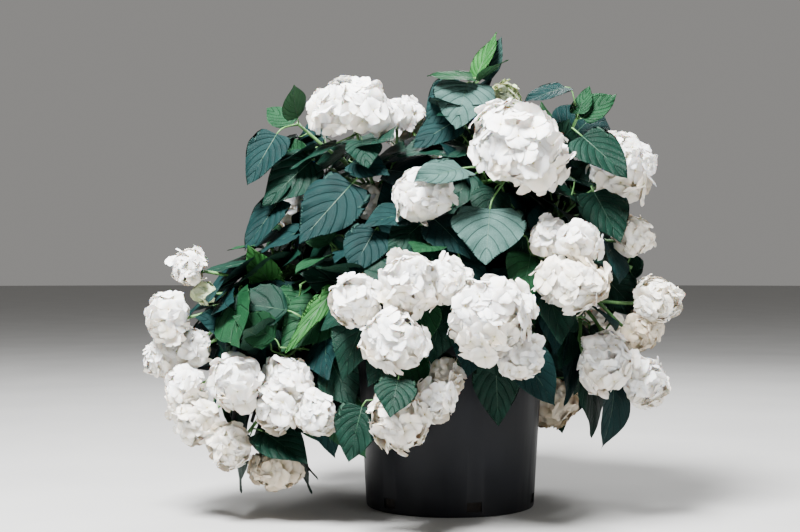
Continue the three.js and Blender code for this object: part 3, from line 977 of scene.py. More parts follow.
    def leaves_of(self, shoot: Shoot) -> list[list[Leaf]]:
        """Offer a shoot's leaves in opposite pairs, each leaf as a few tries.

        Args:
            shoot: The shoot.

        Returns:
            The tries of each leaf.
        """
        draw = Draws(shoot.seed)
        length = length_of(shoot.points)
        any_roll = 360 * draw()
        roll = any_roll if shoot.end.roll is None else shoot.end.roll
        leafy = shoot.end.width == 0
        bare_foot = 8
        leaves = []
        for pair in range(PAIRS_MOST):
            back = first_node(shoot.end) + pair * NODE_SPACING
            if back > length - bare_foot:
                break
            point, direction = station_on(shoot.points, length - back)
            level, other = square_to(direction)
            young = min(1.0, 0.5 + 0.28 * pair) if leafy else min(1.0, 0.84 + 0.1 * pair)
            for hand in range(2):
                tries = []
                for i in range(TRIES_MOST):
                    turned = roll + 90 * pair + 180 * hand + (20 + 30 * i) * (draw() - 0.5)
                    turn = math.radians(turned)
                    outward = level * math.cos(turn) + other * math.sin(turn)
                    size = LEAF_LENGTH * young * (1 - 0.07 * i)
                    size *= 1 + LEAF_LENGTH_SPREAD * (draw() - 0.5)
                    weight = draw()
                    droop = blend(0.45, 1.3, weight)
                    if leafy:
                        droop = blend(-0.5, 0.8, min(1.0, (pair + 0.3 * i) / 2))
                    leaf = self.grown_leaf(
                        point + outward * 0.4, direction, outward, size, droop, draw
                    )
                    leaf.tone = MID if leafy and pair == 0 else self.tone_for(shoot, pair)
                    tries.append(leaf)
                leaves.append(tries)
        return leaves

    @staticmethod
    def tone_for(shoot: Shoot, pair: int) -> LeafTone:
        """Deal a green to a shoot's pair: glaucous, mid or deep, mostly one on each spray."""
        usual = (GLAUCOUS, DEEP, MID, DEEP, GLAUCOUS)[shoot.seed % 5]
        return usual if (shoot.seed + pair) % 3 else DEEP

    @staticmethod
    def grown_leaf(
        root: Point,
        along: Point,
        outward: Point,
        length: float,
        droop: float,
        draw: Callable[[], float],
    ) -> Leaf:
        """Grow a leaf on a shoot.

        Args:
            root: Where its stalk leaves the shoot.
            along: The shoot's direction there.
            outward: The way out from the shoot.
            length: Length of the blade.
            droop: How far it hangs.
            draw: Source of its random numbers.

        Returns:
            The leaf.
        """
        from_heart = outward_from(root)
        stalk_way = unit(outward + along * 0.55 + UP * 0.1)
        joint = root + stalk_way * (PETIOLE * length / LEAF_LENGTH)
        direction = unit(stalk_way + from_heart * 0.45 - UP * droop)
        light = UP + from_heart * 1.4 + outward * (0.3 * (draw() - 0.5))
        normal = unit(flattened(light, direction))
        width = length * LEAF_WIDTH_SHARE * (1 + 0.16 * (draw() - 0.5))
        curl = blend(0.08, 0.3, draw())
        fold = blend(0.1, 0.34, draw())
        side = np.cross(normal, direction)
        return Leaf(root, joint, direction, normal, side, length, width, curl, fold)

    @staticmethod
    def broad_leaf(planned: Blade, shoots: Sequence[Shoot]) -> Leaf:
        """Grow a broad leaf on a stalk from the nearest point of a shoot.

        Args:
            planned: The leaf's foot and tip.
            shoots: The shoots of its mass.

        Returns:
            The leaf.
        """
        points = np.vstack([line_samples(shoot.points)[1:-1] for shoot in shoots])
        root = points[np.argmin(np.linalg.norm(points - planned.foot, axis=1))]
        length = math.dist(planned.foot, planned.tip)
        direction = (planned.tip - planned.foot) / length
        normal = unit(flattened(planned.face, direction))
        width = length * planned.wide
        side = np.cross(normal, direction)
        leaf = Leaf(root, planned.foot, direction, normal, side, length, width, 0.06, 0.16)
        leaf.tone, leaf.kind = planned.tone, LeafKind.BROAD
        return leaf


@dataclass
class FineGrowth:
    """Carries the growth on to side twigs and small leaves within the reach of the source's."""

    growth: Growth
    seed: int = 41
    owner: int = 20
    first_twig: float = 14.0
    twig_spacing: float = 15.0
    tries: int = 7
    twig_lengths: tuple[float, float] = (12.0, 88.0)
    leaf_lengths: tuple[float, float] = (70.0, 136.0)
    crowded: float = 0.3
    bare_pot_half_width: float = 205.0

    def __post_init__(self) -> None:
        """List the flower heads and measure the source's reach."""
        self.random = np.random.default_rng(self.seed)
        self.heads = [shoot for plant in self.growth.plants for shoot in plant.headed]
        self.reach = self.reach_map()

    def reach_map(self) -> Point:
        """Measure how far the source's leaves and heads reach.

        Returns:
            The reach from the heart, in cells of ten degrees by bearing and by tilt.
        """
        clouds = [head_samples(shoot) for shoot in self.heads]
        for plant in self.growth.plants:
            clouds.extend(leaf_samples(leaf) for leaf in plant.leaves())
        points = np.vstack(clouds)
        reach = np.zeros((36, 18))
        np.maximum.at(reach, self.cell_of(points), np.linalg.norm(points - HEART, axis=1))
        return reach

    @staticmethod
    def cell_of(points: Point) -> tuple[Point, Point]:
        """Find points on the reach map.

        Args:
            points: The points.

        Returns:
            The two numbers of each point's cell.
        """
        offset = points - HEART
        turn = np.degrees(np.arctan2(offset[:, 1], offset[:, 0])) % 360
        tilt = np.degrees(np.arctan2(offset[:, 2], np.hypot(offset[:, 0], offset[:, 1])))
        return (turn // 10).astype(int) % 36, np.clip((tilt + 90) // 10, 0, 17).astype(int)

    def has_room(self, leaf: Leaf) -> bool:
        """Tell whether a fine leaf has room, and hides no flower head and none of the bare pot.

        Args:
            leaf: The leaf.

        Returns:
            Whether it has.
        """
        within, most_beyond = 0.97, 0.02
        samples = leaf_samples(leaf)
        if meets_pot_or_ground(samples) or self.growth.space.crowding(samples) > self.crowded:
            return False
        x, y, z = samples.T
        if ((y < 0) & (abs(x) < self.bare_pot_half_width) & (z < POT_HEIGHT)).any():
            return False
        distance = np.linalg.norm(samples - HEART, axis=1)
        if (distance > self.reach[self.cell_of(samples)] * within).mean() > most_beyond:
            return False
        return not any(self.hides(samples, shoot) for shoot in self.heads)

    @staticmethod
    def hides(samples: Point, shoot: Shoot) -> bool:
        """Tell whether a leaf lies in a flower head, before its face or before its front.

        Args:
            samples: Points of the leaf.
            shoot: The head's shoot.

        Returns:
            Whether a fair share of the points does.
        """
        behind, round_it, most, back_row = -0.3, 0.55, 0.03, 60
        offset = samples - shoot.end.centre
        faces = [shoot.facing] if shoot.end.centre[1] > back_row else [shoot.facing, FRONT]
        for facing in faces:
            ahead = offset @ facing
            aside = np.linalg.norm(offset - ahead[:, None] * facing, axis=1)
            near = (ahead > behind * shoot.end.width) & (aside < round_it * shoot.end.width)
            if near.mean() > most:
                return True
        return False

    def grow(self) -> int:
        """Grow side twigs on every shoot.

        Returns:
            How many leaves were added.
        """
        bare_foot, bare_cane = 6, 5
        added = 0
        for plant in self.growth.plants:
            for line in (*(shoot.points for shoot in plant.shoots), plant.cane[bare_cane:]):
                length = length_of(line)
                for back in np.arange(self.first_twig, length - bare_foot, self.twig_spacing):
                    for _ in range(self.tries):
                        twig = self.twig_at(line, length - back)
                        if twig is not None:
                            plant.twigs.append(twig)
                            added += len(twig.leaves)
                            break
        return added

    def twig_at(self, line: Point, distance: float) -> Twig | None:
        """Try a side twig with a pair or two of small leaves.

        Args:
            line: The limb it grows from.
            distance: Distance along that limb.

        Returns:
            The twig, or None where its leaves have no room.
        """
        draw = self.random.random
        point, direction = station_on(line, distance)
        level, other = square_to(direction)
        turn = 2 * math.pi * draw()
        outward = level * math.cos(turn) + other * math.sin(turn)
        reach = blend(*self.twig_lengths, draw())
        way = unit(outward + direction * 0.5 + UP * 0.35)
        tip = point + way * reach + outward_from(point) * reach * 0.25
        pulls = (point + outward * reach * 0.3, tip - way * reach * 0.3)
        points = curve_points(point, *pulls, tip, 4)
        tip_way = unit(points[-1] - points[-2])
        level, other = square_to(tip_way)
        roll = 2 * math.pi * draw()
        leaves = []
        for hand in range(2):
            turn = roll + math.pi * hand
            aside = level * math.cos(turn) + other * math.sin(turn)
            size, droop = blend(*self.leaf_lengths, draw()), blend(0.0, 0.9, draw())
            leaf = Growth.grown_leaf(tip + aside * 0.4, tip_way, aside, size, droop, draw)
            leaf.kind = LeafKind.FINE
            if self.has_room(leaf):
                leaf.tone = self.tone_at(leaf.joint, draw())
                self.growth.space.claim_leaf(leaf_samples(leaf), self.owner)
                leaves.append(leaf)
        return Twig(points, leaves) if leaves else None

    @staticmethod
    def tone_at(joint: Point, shade: float) -> LeafTone:
        """Deal a green to a fine leaf: deep inside the shrub, mostly deep or glaucous outside."""
        # Inside the shrub the deep green paints the shade that falls there.
        inside = np.linalg.norm(joint - HEART) < 210
        return DEEP if inside or shade < 0.45 else MID if shade > 0.9 else GLAUCOUS


# Meshes


@dataclass
class Heap:
    """Gathers many small meshes of one kind, and makes them one piece."""

    name: str
    points: list[Point] = field(default_factory=list)
    faces: list[Face] = field(default_factory=list)
    marks: list[tuple[float, float]] = field(default_factory=list)
    count: int = 0

    def add(self, points: Point, faces: Sequence[Face], marks: Sequence[Marks] = ()) -> None:
        """Add a small mesh.

        Args:
            points: Its points, in millimetres.
            faces: Its faces, by their points' numbers.
            marks: A UV place for each corner of each face.
        """
        self.points.append(points)
        self.faces.extend(tuple(i + self.count for i in face) for face in faces)
        self.marks.extend(mark for face in marks for mark in face)
        self.count += len(points)

    def make(self, smooth: bool = True) -> Piece:
        """Make the piece.

        Args:
            smooth: Whether its faces are shaded smooth.

        Returns:
            The piece, with its place in its mesh.
        """
        mesh = bpy.data.meshes.new(self.name)
        mesh.from_pydata((np.vstack(self.points) * MM).tolist(), [], self.faces)
        if self.marks:
            layer = mesh.uv_layers.new(name="place")
            layer.data.foreach_set("uv", np.array(self.marks, np.float32).ravel())
        mesh.polygons.foreach_set("use_smooth", [smooth] * len(self.faces))
        mesh.update()
        piece = bpy.data.objects.new(self.name, mesh)
        bpy.context.scene.collection.objects.link(piece)
        return piece


def taken_apart(piece: Piece) -> tuple[Point, list[Face]]:
    """Take a modelled piece apart, and delete it.

    Args:
        piece: The piece.

    Returns:
        Its points and faces.
    """
    points = np.array([vertex.co[:] for vertex in piece.data.vertices])
    faces = [tuple(polygon.vertices) for polygon in piece.data.polygons]
    bpy.data.objects.remove(piece)
    return points, faces


def tube(
    heap: Heap,
    line: Point,
    radii: Sequence[float],
    sides: int,
    relief: Point | None = None,
    turns: float = 1.0,
) -> None:
    """Add a closed tube along a line to a heap.

    Args:
        heap: The heap.
        line: The line's points.
        radii: Radius at each point.
        sides: Number of sides.
        relief: Extra radius for each point and side.
        turns: Length of the UV round the tube.
    """
    count = len(line)
    ways = np.gradient(line, axis=0)
    ways /= np.linalg.norm(ways, axis=1)[:, None]
    side = square_to(ways[0])[0]
    rings = []
    for i, (point, way) in enumerate(zip(line, ways, strict=True)):
        side = unit(flattened(side, way))
        other = np.cross(way, side)
        turn = 2 * math.pi * np.arange(sides) / sides
        radius = radii[i] + (relief[i] if relief is not None else 0.0)
        ring = point + side * (np.cos(turn) * radius)[:, None]
        rings.append(ring + other * (np.sin(turn) * radius)[:, None])
    faces, marks = [], []
    far = np.concatenate([[0.0], np.cumsum(np.linalg.norm(np.diff(line, axis=0), axis=1))])
    for i, k in product(range(count - 1), range(sides)):
        a, b = i * sides + k, i * sides + (k + 1) % sides
        faces.append((a, b, b + sides, a + sides))
        u, v = turns * k / sides, turns * (k + 1) / sides
        low, high = far[i] / 100, far[i + 1] / 100
        marks.append(((u, low), (v, low), (v, high), (u, high)))
    faces.append(tuple(range(sides - 1, -1, -1)))
    faces.append(tuple(range((count - 1) * sides, count * sides)))
    marks.extend([((0.0, 0.0),) * sides] * 2)
    heap.add(np.vstack(rings), faces, marks)


@dataclass(frozen=True)
class LeafShape:
    """The mesh of a leaf: rows that arch forward as its side veins do, quilted between them.

    Sections and columns count its faces along and to each side, pairs its side veins, and teeth
    those on each section's margin. Point, notch, quilt and tooth are how sharp its tip, how far
    back its foot, how high its quilting and how long its teeth are.
    """

    sections: int
    columns: int
    pairs: int
    teeth: int
    tooth: float
    broadest: float = 0.38
    notch: float = 0.02
    point: float = 1.2
    quilt: float = 0.005
    fullness: float = 1.12

    def outline(self, edge: Point) -> tuple[Point, Point]:
        """Give the margin of a leaf: broad round foot, drawn-out tip.

        Args:
            edge: Places along the margin, from 0 at the foot to 1 at the tip.

        Returns:
            The half width there, for a leaf one wide, and the share of the leaf's length.
        """
        foot = 1 - np.clip(1 - edge / self.broadest, 0, 1) ** 2.4
        far = np.clip((edge - self.broadest) / (1 - self.broadest), 0, 1)
        share = edge - self.notch * np.sin(np.pi * np.clip(edge / 0.2, 0, 1))
        return 0.5 * foot**0.52 * (1 - far**1.6) ** self.point, share

    def faces(self) -> tuple[list[Face], list[Marks]]:
        """Give the faces of a blade and the UV places of their corners.

        Returns:
            The faces and, for each, the UV place of each corner. The second number of a place
            counts the pairs of side veins from the foot.
        """
        n, wide = self.sections, 2 * self.columns + 1
        tip = 1 + wide * (n - 1)

        def number(row: int, column: int) -> int:
            """Give the number of a point of the blade."""
            return 0 if row == 0 else tip if row == n else 1 + wide * (row - 1) + column

        def mark(row: float, column: int) -> tuple[float, float]:
            """Give the UV place of a point of the blade."""
            return column / (wide - 1), row * self.pairs / n

        faces, marks = [], []
        for row, column in product(range(n), range(wide - 1)):
            corners = [(row, column), (row + 1, column), (row + 1, column + 1), (row, column + 1)]
            if row == 0:
                corners.pop()
            elif row == n - 1:
                corners.pop(2)
            faces.append(tuple(number(*corner) for corner in corners))
            marks.append(tuple(mark(*corner) for corner in corners))
        apex = tip + 1
        for row, column in product(range(1, n - 1), (0, wide - 1)):
            turned = 1 if column == 0 else -1
            between = range(apex, apex + self.teeth - 1)
            steps = [number(row, column), *between, number(row + 1, column)]
            spot = (mark(row, column), mark(row + 0.7, column), mark(row + 1, column))
            apex += len(between)
            for low, high in zip(steps, steps[1:]):
                faces.append((low, apex, high)[::turned])
                marks.append(spot[::turned])
                apex += 1
        return faces, marks

    def points(self, leaf: Leaf, phase: float) -> Point:
        """Give the points of a leaf's blade.

        Args:
            leaf: The leaf.
            phase: Where the waves of its margin begin.

        Returns:
            The points: the foot, the rows, the tip, and the teeth.
        """
        row = (np.arange(1, self.sections) / self.sections)[:, None]
        across = (np.arange(-self.columns, self.columns + 1) / self.columns)[None, :]
        far = abs(across)
        lead, wave_height, waves = 0.13, 0.02, 1.5
        rib = row**2.2
        half, margin = self.outline(row + lead * np.sin(np.pi * row))
        share = rib + (margin - rib) * (0.45 * far + 0.55 * far**2.6)
        half = half * leaf.width * self.fullness * far
        taper = np.sin(np.pi * row) ** 0.5
        swell = np.sin(np.pi * far) ** 0.7 + 0.35 * far**3
        ridge = -np.cos(2 * np.pi * self.pairs * row) * self.quilt * swell * taper
        wave = wave_height * np.sin(2 * np.pi * waves * row + phase + 2.1 * across) * far**2
        lift = (ridge + wave - leaf.curl * share**2) * leaf.length
        lift = lift + leaf.fold * half - 0.5 * leaf.fold * half * far
        body = leaf.joint + leaf.direction * (share * leaf.length)[..., None]
        body = body + leaf.side * (half * np.sign(across))[..., None]
        body = body + leaf.normal * lift[..., None]
        tip = leaf.joint + leaf.direction * leaf.length - leaf.normal * leaf.curl * leaf.length
        teeth = []
        for i in range(self.sections - 2):
            for column, hand in ((0, -1.0), (-1, 1.0)):
                low, high = body[i, column], body[i + 1, column]
                stops = [blend(low, high, k / self.teeth) for k in range(self.teeth + 1)]
                teeth.extend(stops[1:-1])
                size = self.tooth * math.dist(low, high) / self.teeth
                ahead = unit(high - low)
                out = np.cross(ahead, leaf.normal) * hand
                for k in range(self.teeth):
                    point = blend(stops[k], stops[k + 1], 0.8)
                    teeth.append(point + (out + ahead * 0.5) * size)
        return np.vstack([leaf.joint, body.reshape(-1, 3), tip, np.array(teeth)])


LEAF_SHAPES: dict[LeafKind, LeafShape] = {
    LeafKind.BROAD: LeafShape(
        28, 4, 7, 1, tooth=0.9, broadest=0.31, notch=0.09, point=1.08, quilt=0.0075
    ),
    LeafKind.GROWN: LeafShape(14, 2, 7, 2, tooth=0.5),
    LeafKind.FINE: LeafShape(8, 2, 4, 1, tooth=0.25),
}


# Finishes


@dataclass
class Tree:
    """The nodes of one material or node group, added in a few words."""

    tree: NodeTree

    def node(self, kind: str, **inputs: object) -> Node:
        """Add a node.

        Args:
            kind: Its type without the ShaderNode at its head.
            inputs: Values or sockets for its inputs, with _ for a space; lower-case names that
                the node itself has are set on it.

        Returns:
            The node.
        """
        made = self.tree.nodes.new("ShaderNode" + kind)
        for name, value in inputs.items():
            if hasattr(made, name):
                setattr(made, name, value)
                continue
            self.feed(made.inputs[name.replace("_", " ")], value)
        return made

    def feed(self, socket: Socket, value: object) -> None:
        """Give a socket a value or a link.

        Args:
            socket: The socket.
            value: The value, or the socket that gives it.
        """
        if isinstance(value, Socket):
            self.tree.links.new(value, socket)
        elif isinstance(value, tuple) and socket.type == "RGBA" and len(value) == 3:
            socket.default_value = (*value, 1.0)
        else:
            socket.default_value = value

    def group(self, group: NodeTree, **inputs: object) -> Node:
        """Place a node group and feed its inputs by name."""
        return self.node("Group", node_tree=group, **inputs)

    def spot(self) -> Socket:
        """Give the place on the object."""
        return self.node("TexCoord").outputs["Object"]

    def noise(self, spot: Socket, scale: object, detail: float) -> Socket:
        """Give soft noise at a place."""
        return self.node("TexNoise", Vector=spot, Scale=scale, Detail=detail).outputs["Fac"]

    def fill(self, node: Node, places: Iterable[int], *values: object) -> Node:
        """Feed a node's inputs by their numbers.

        Args:
            node: The node.
            places: Number of each input.
            values: A value or socket for each.

        Returns:
            The node.
        """
        for number, value in zip(places, values):
            self.feed(node.inputs[number], value)
        return node

    def mix(self, share: object, low: object, high: object) -> Socket:
        """Mix two colours by a share."""
        made = self.node("Mix", data_type="RGBA")
        return self.fill(made, (0, 6, 7), share, low, high).outputs[2]

    def maths(self, how: str, *values: object) -> Socket:
        """Do a sum with one or two numbers."""
        return self.fill(self.node("Math", operation=how), (0, 1), *values).outputs[0]

    def spread(self, value: object, *ends: float) -> Socket:
        """Map a range of numbers on another by their four ends, and keep within it."""
        return self.fill(self.node("MapRange"), range(5), value, *ends).outputs[0]

    def give(self, **outputs: Socket) -> NodeTree:
        """Link the outputs of a node group.

        Args:
            outputs: The socket that each output gets, by its name.

        Returns:
            The group.
        """
        made = self.tree.nodes.new("NodeGroupOutput")
        for name, socket in outputs.items():
            self.feed(made.inputs[name], socket)
        return self.tree


@dataclass(frozen=True)
class GroupSocket:
    """One socket of a node group."""

    name: str
    kind: str
    value: object = None
    out: bool = False


def start_group(name: str, *sockets: GroupSocket) -> tuple[Tree, Sequence[Socket]]:
    """Start a shader node group that more than one material uses.

    Args:
        name: Its name.
        sockets: Its inputs and outputs.

    Returns:
        Its tree, and the sockets that give its inputs.
    """
    group = bpy.data.node_groups.new(name, "ShaderNodeTree")
    for socket in sockets:
        way = "OUTPUT" if socket.out else "INPUT"
        made = group.interface.new_socket(
            name=socket.name, in_out=way, socket_type="NodeSocket" + socket.kind
        )
        if socket.value is not None:
            made.default_value = socket.value
    return Tree(group), group.nodes.new("NodeGroupInput").outputs


@cache
def mottle_group() -> NodeTree:
    """Make the group that shifts a colour softly from place to place, once.

    Returns:
        The group.
    """
    tree, given = start_group(
        "soft_mottle",
        GroupSocket("Dark", "Color", (0.1, 0.1, 0.1, 1.0)),
        GroupSocket("Light", "Color", (0.2, 0.2, 0.2, 1.0)),
        GroupSocket("Scale", "Float", 20.0),
        GroupSocket("Colour", "Color", out=True),
        GroupSocket("Mask", "Float", out=True),
    )
    share = tree.spread(tree.noise(tree.spot(), given["Scale"], 3.0), 0.3, 0.7, 0.0, 1.0)
    return tree.give(Colour=tree.mix(share, given["Dark"], given["Light"]), Mask=share)


@cache
def relief_group() -> NodeTree:
    """Make the group of a fine grain's height, once.

    Returns:
        The group.
    """
    tree, given = start_group(
        "fine_grain",
        GroupSocket("Scale", "Float", 300.0),
        GroupSocket("Strength", "Float", 0.3),
        GroupSocket("Depth", "Float", 0.0005),
        GroupSocket("Normal", "Vector", out=True),
        GroupSocket("Height", "Float", out=True),
    )
    fine = tree.noise(tree.spot(), given["Scale"], 5.0)
    bump = tree.node("Bump", Height=fine, Strength=given["Strength"], Distance=given["Depth"])
    return tree.give(Normal=bump.outputs["Normal"], Height=fine)


@cache
def vein_group() -> NodeTree:
    """Make the group of a leaf's side veins, from its UV, and the fine net between them, once.

    Returns:
        The group.
    """
    tree, given = start_group(
        "leaf_veins",
        GroupSocket("Strength", "Float", 0.5),
        GroupSocket("Vein", "Float", out=True),
        GroupSocket("Net", "Float", out=True),
        GroupSocket("Normal", "Vector", out=True),
    )
    vein_width, net_scale, net_height, depth = 0.085, 310.0, 0.3, 0.0012
    coords = tree.node("UVMap", uv_map="place")
    parts = tree.node("SeparateXYZ", Vector=coords.outputs["UV"])
    within = tree.maths("FRACT", parts.outputs["Y"])
    near = tree.maths("ABSOLUTE", tree.maths("SUBTRACT", within, 0.5))
    vein = tree.spread(near, 0.5 - vein_width, 0.5, 0.0, 1.0)
    way = "DISTANCE_TO_EDGE"
    net = tree.node("TexVoronoi", feature=way, Vector=tree.spot(), Scale=net_scale)
    cells = tree.spread(net.outputs["Distance"], 0.0, 0.25, 0.0, 1.0)
    height = tree.maths("SUBTRACT", tree.maths("MULTIPLY", cells, net_height), vein)
    bump = tree.node("Bump", Height=height, Strength=given["Strength"], Distance=depth)
    return tree.give(Vein=vein, Net=cells, Normal=bump.outputs["Normal"])


def new_material(name: str) -> tuple[Material, Tree, Node]:
    """Start a material.

    Args:
        name: Its name.

    Returns:
        The material, its tree and its Principled shader.
    """
    material = bpy.data.materials.new(name)
    material.use_nodes = True
    tree = Tree(material.node_tree)
    return material, tree, material.node_tree.nodes["Principled BSDF"]


@dataclass(frozen=True)
class LeafFinish:
    """A leaf's tissue: upper side, paler underside, painted shade in sunken veins, soft waxy gloss.

    Dark and light are the ends of its mottling, under is the colour of its underside, and vein is
    the painted shade of the sunken vein grooves; the creases of the fine net get painted shade too.
    """

    name: str
    dark: RGB
    light: RGB
    vein: RGB
    under: RGB
    gloss: float = 0.07
    roughness: float = 0.56

    def material(self) -> Material:
        """Build the material.

        Returns:
            The material.
        """
        material, tree, shader = new_material(self.name)
        tissue = tree.group(mottle_group(), Dark=self.dark, Light=self.light, Scale=34.0)
        veins = tree.group(vein_group(), Strength=0.9)
        # Painted shade: the sunken veins and the creases of the fine net are darkened.
        net_crease_shade = tree.spread(veins.outputs["Net"], 0.0, 1.0, 0.34, 0.0)
        share = tree.maths("MAXIMUM", tree.maths("MULTIPLY", veins.outputs["Vein"], 0.8), net_crease_shade)
        upper = tree.mix(share, tissue.outputs["Colour"], self.vein)
        sides = tree.node("NewGeometry")
        colour = tree.mix(sides.outputs["Backfacing"], upper, self.under)
        tree.feed(shader.inputs["Base Color"], colour)
        tree.feed(shader.inputs["Normal"], veins.outputs["Normal"])
        gloss = tree.spread(tissue.outputs["Mask"], 0.0, 1.0, self.roughness, self.roughness + 0.12)
        tree.feed(shader.inputs["Roughness"], gloss)
        shader.inputs["Specular IOR Level"].default_value = self.gloss
        return material


@dataclass(frozen=True)
class PetalFinish:
    """A floret's sepals: thin, matt and faintly veined, greener towards the foot.

    Tip and shade are the light and dark of its mottling, and foot the colour it blends into,
    partly the sepals' own greener base and partly painted shade where they overlap round the eye.
    """

    name: str
    tip: RGB
    shade: RGB
    foot: RGB

    def material(self) -> Material:
        """Build the material.

        Returns:
            The material.
        """
        material, tree, shader = new_material(self.name)
        tissue = tree.group(mottle_group(), Dark=self.shade, Light=self.tip, Scale=46.0)
        coords = tree.node("UVMap", uv_map="place")
        parts = tree.node("SeparateXYZ", Vector=coords.outputs["UV"])
        # Towards the foot: the sepal's own greener base, with painted shade where sepals overlap.
        foot = tree.spread(parts.outputs["Y"], 0.0, 0.42, 0.75, 0.0)
        colour = tree.mix(foot, tissue.outputs["Colour"], self.foot)
        lines = tree.node("TexWave", Scale=5.0, Distortion=2.5, Detail=1.0)
        tree.feed(lines.inputs["Vector"], coords.outputs["UV"])
        bump = tree.node("Bump", Height=lines.outputs["Fac"], Strength=0.16, Distance=0.0006)
        tree.feed(shader.inputs["Base Color"], colour)
        tree.feed(shader.inputs["Normal"], bump.outputs["Normal"])
        rough = tree.spread(tissue.outputs["Mask"], 0.0, 1.0, 0.58, 0.7)
        tree.feed(shader.inputs["Roughness"], rough)
        shader.inputs["Specular IOR Level"].default_value = 0.25
        shader.inputs["Subsurface Weight"].default_value = 0.45
        shader.inputs["Subsurface Radius"].default_value = (1.0, 0.75, 0.55)
        shader.inputs["Subsurface Scale"].default_value = 0.012
        return material


@dataclass(frozen=True)
class GrownFinish:
    """A matt grown surface with soft blotches and a fine grain.

    Blotch and grain are the scales of its two patterns, and depth the height of the grain.
    """

    name: str
    dark: RGB
    light: RGB
    blotch: float
    grain: float
    depth: float
    roughness: float
    strength: float = 0.5

    def material(self) -> Material:
        """Build the material.

        Returns:
            The material.
        """
        material, tree, shader = new_material(self.name)
        tissue = tree.group(mottle_group(), Dark=self.dark, Light=self.light, Scale=self.blotch)
        grain = tree.group(
            relief_group(), Scale=self.grain, Strength=self.strength, Depth=self.depth
        )
        shade = tree.spread(grain.outputs["Height"], 0.3, 0.7, 0.0, 0.35)
        tree.feed(shader.inputs["Base Color"], tree.mix(shade, tissue.outputs["Colour"], self.dark))
        tree.feed(shader.inputs["Normal"], grain.outputs["Normal"])
        smooth, rough = self.roughness - 0.08, self.roughness + 0.06
        roughness = tree.spread(grain.outputs["Height"], 0.3, 0.7, smooth, rough)
        tree.feed(shader.inputs["Roughness"], roughness)
        return material


@dataclass(frozen=True)
class PotFinish:
    """Moulded black plastic: fine grain, upright rubs with painted sheen, a little dust at the
    foot.
    """

    name: str = "black_pot_plastic"
    body: RGB = (0.003, 0.0034, 0.0048)
    rubbed_sheen: RGB = (0.007, 0.008, 0.011)
    dust: RGB = (0.03, 0.029, 0.027)

    def material(self) -> Material:
        """Build the material.

        Returns:
            The material.
        """
        material, tree, shader = new_material(self.name)
        spot = tree.spot()
        upright = tree.node("Mapping", Vector=spot, Scale=(1.0, 1.0, 0.06)).outputs[0]
        # Lighter upright streaks: rubs, with a painted sheen of soft upright highlights.
        rub_sheen = tree.spread(tree.noise(upright, 70.0, 4.0), 0.45, 0.8, 0.0, 1.0)
        tissue = tree.group(mottle_group(), Dark=self.body, Light=self.rubbed_sheen, Scale=9.0)
        body = tree.mix(tree.maths("MULTIPLY", rub_sheen, 0.55), tissue.outputs["Colour"], self.rubbed_sheen)
        parts = tree.node("SeparateXYZ", Vector=spot)
        low = tree.spread(parts.outputs["Z"], 0.0, 0.07, 0.32, 0.0)
        dusty = tree.maths("MULTIPLY", low, tissue.outputs["Mask"])
        grain = tree.group(relief_group(), Scale=900.0, Strength=0.25, Depth=0.0003)
        tree.feed(shader.inputs["Base Color"], tree.mix(dusty, body, self.dust))
        rough = tree.spread(rub_sheen, 0.0, 1.0, 0.44, 0.6)
        rough = tree.maths("ADD", rough, tree.maths("MULTIPLY", dusty, 0.5))
        tree.feed(shader.inputs["Roughness"], rough)
        tree.feed(shader.inputs["Normal"], grain.outputs["Normal"])
        shader.inputs["Specular IOR Level"].default_value = 0.16
        return material


# The vein colours are the painted shade of the sunken vein grooves.
LEAF_FINISHES: dict[LeafTone, LeafFinish] = {
    DEEP: LeafFinish(
        "deep_green_leaf",
        dark=(0.0015, 0.014, 0.0085),
        light=(0.004, 0.026, 0.0165),
        vein=(0.0008, 0.0065, 0.004),
        under=(0.014, 0.042, 0.027),
        gloss=0.1,
        roughness=0.46,
    ),
    GLAUCOUS: LeafFinish(
        "blue_green_leaf",
        dark=(0.002, 0.0135, 0.0135),
        light=(0.0052, 0.0235, 0.023),
        vein=(0.0009, 0.007, 0.0068),
        under=(0.014, 0.038, 0.032),
    ),
    # Painted light: the sun and its sheen on lit blue-green leaves.
    PALE: LeafFinish(
        "sunlit_leaf",
        dark=(0.026, 0.06, 0.052),
        light=(0.056, 0.108, 0.096),
        vein=(0.007, 0.022, 0.018),
        under=(0.03, 0.065, 0.054),
    ),
    MID: LeafFinish(
        "green_leaf",
        dark=(0.0025, 0.026, 0.009),
        light=(0.0075, 0.047, 0.0175),
        vein=(0.0013, 0.013, 0.005),
        under=(0.022, 0.07, 0.03),
        gloss=0.1,
        roughness=0.5,
    ),
    FRESH: LeafFinish(
        "fresh_green_leaf",
        dark=(0.009, 0.066, 0.012),
        light=(0.02, 0.105, 0.021),
        vein=(0.005, 0.04, 0.007),
        under=(0.035, 0.11, 0.027),
        gloss=0.12,
        roughness=0.46,
    ),
}

PETAL_FINISHES: dict[HeadTone, PetalFinish] = {
    HeadTone.WHITE: PetalFinish(
        "white_petal", (0.945, 0.935, 0.915), (0.905, 0.87, 0.815), (0.86, 0.79, 0.66)
    ),
    # The cream: painted shade on heads and florets that lie in shade.
    HeadTone.CREAM: PetalFinish(
        "shade_cream_petal", (0.87, 0.825, 0.75), (0.8, 0.73, 0.62), (0.72, 0.65, 0.47)
    ),
    # Aged heads: partly browned with age, partly painted shade.
    HeadTone.FADED: PetalFinish(
        "faded_shaded_petal", (0.72, 0.63, 0.5), (0.6, 0.49, 0.36), (0.52, 0.43, 0.26)
    ),
    HeadTone.GREENISH: PetalFinish(
        "green_tinged_petal", (0.7, 0.78, 0.52), (0.56, 0.66, 0.36), (0.38, 0.52, 0.18)
    ),
}

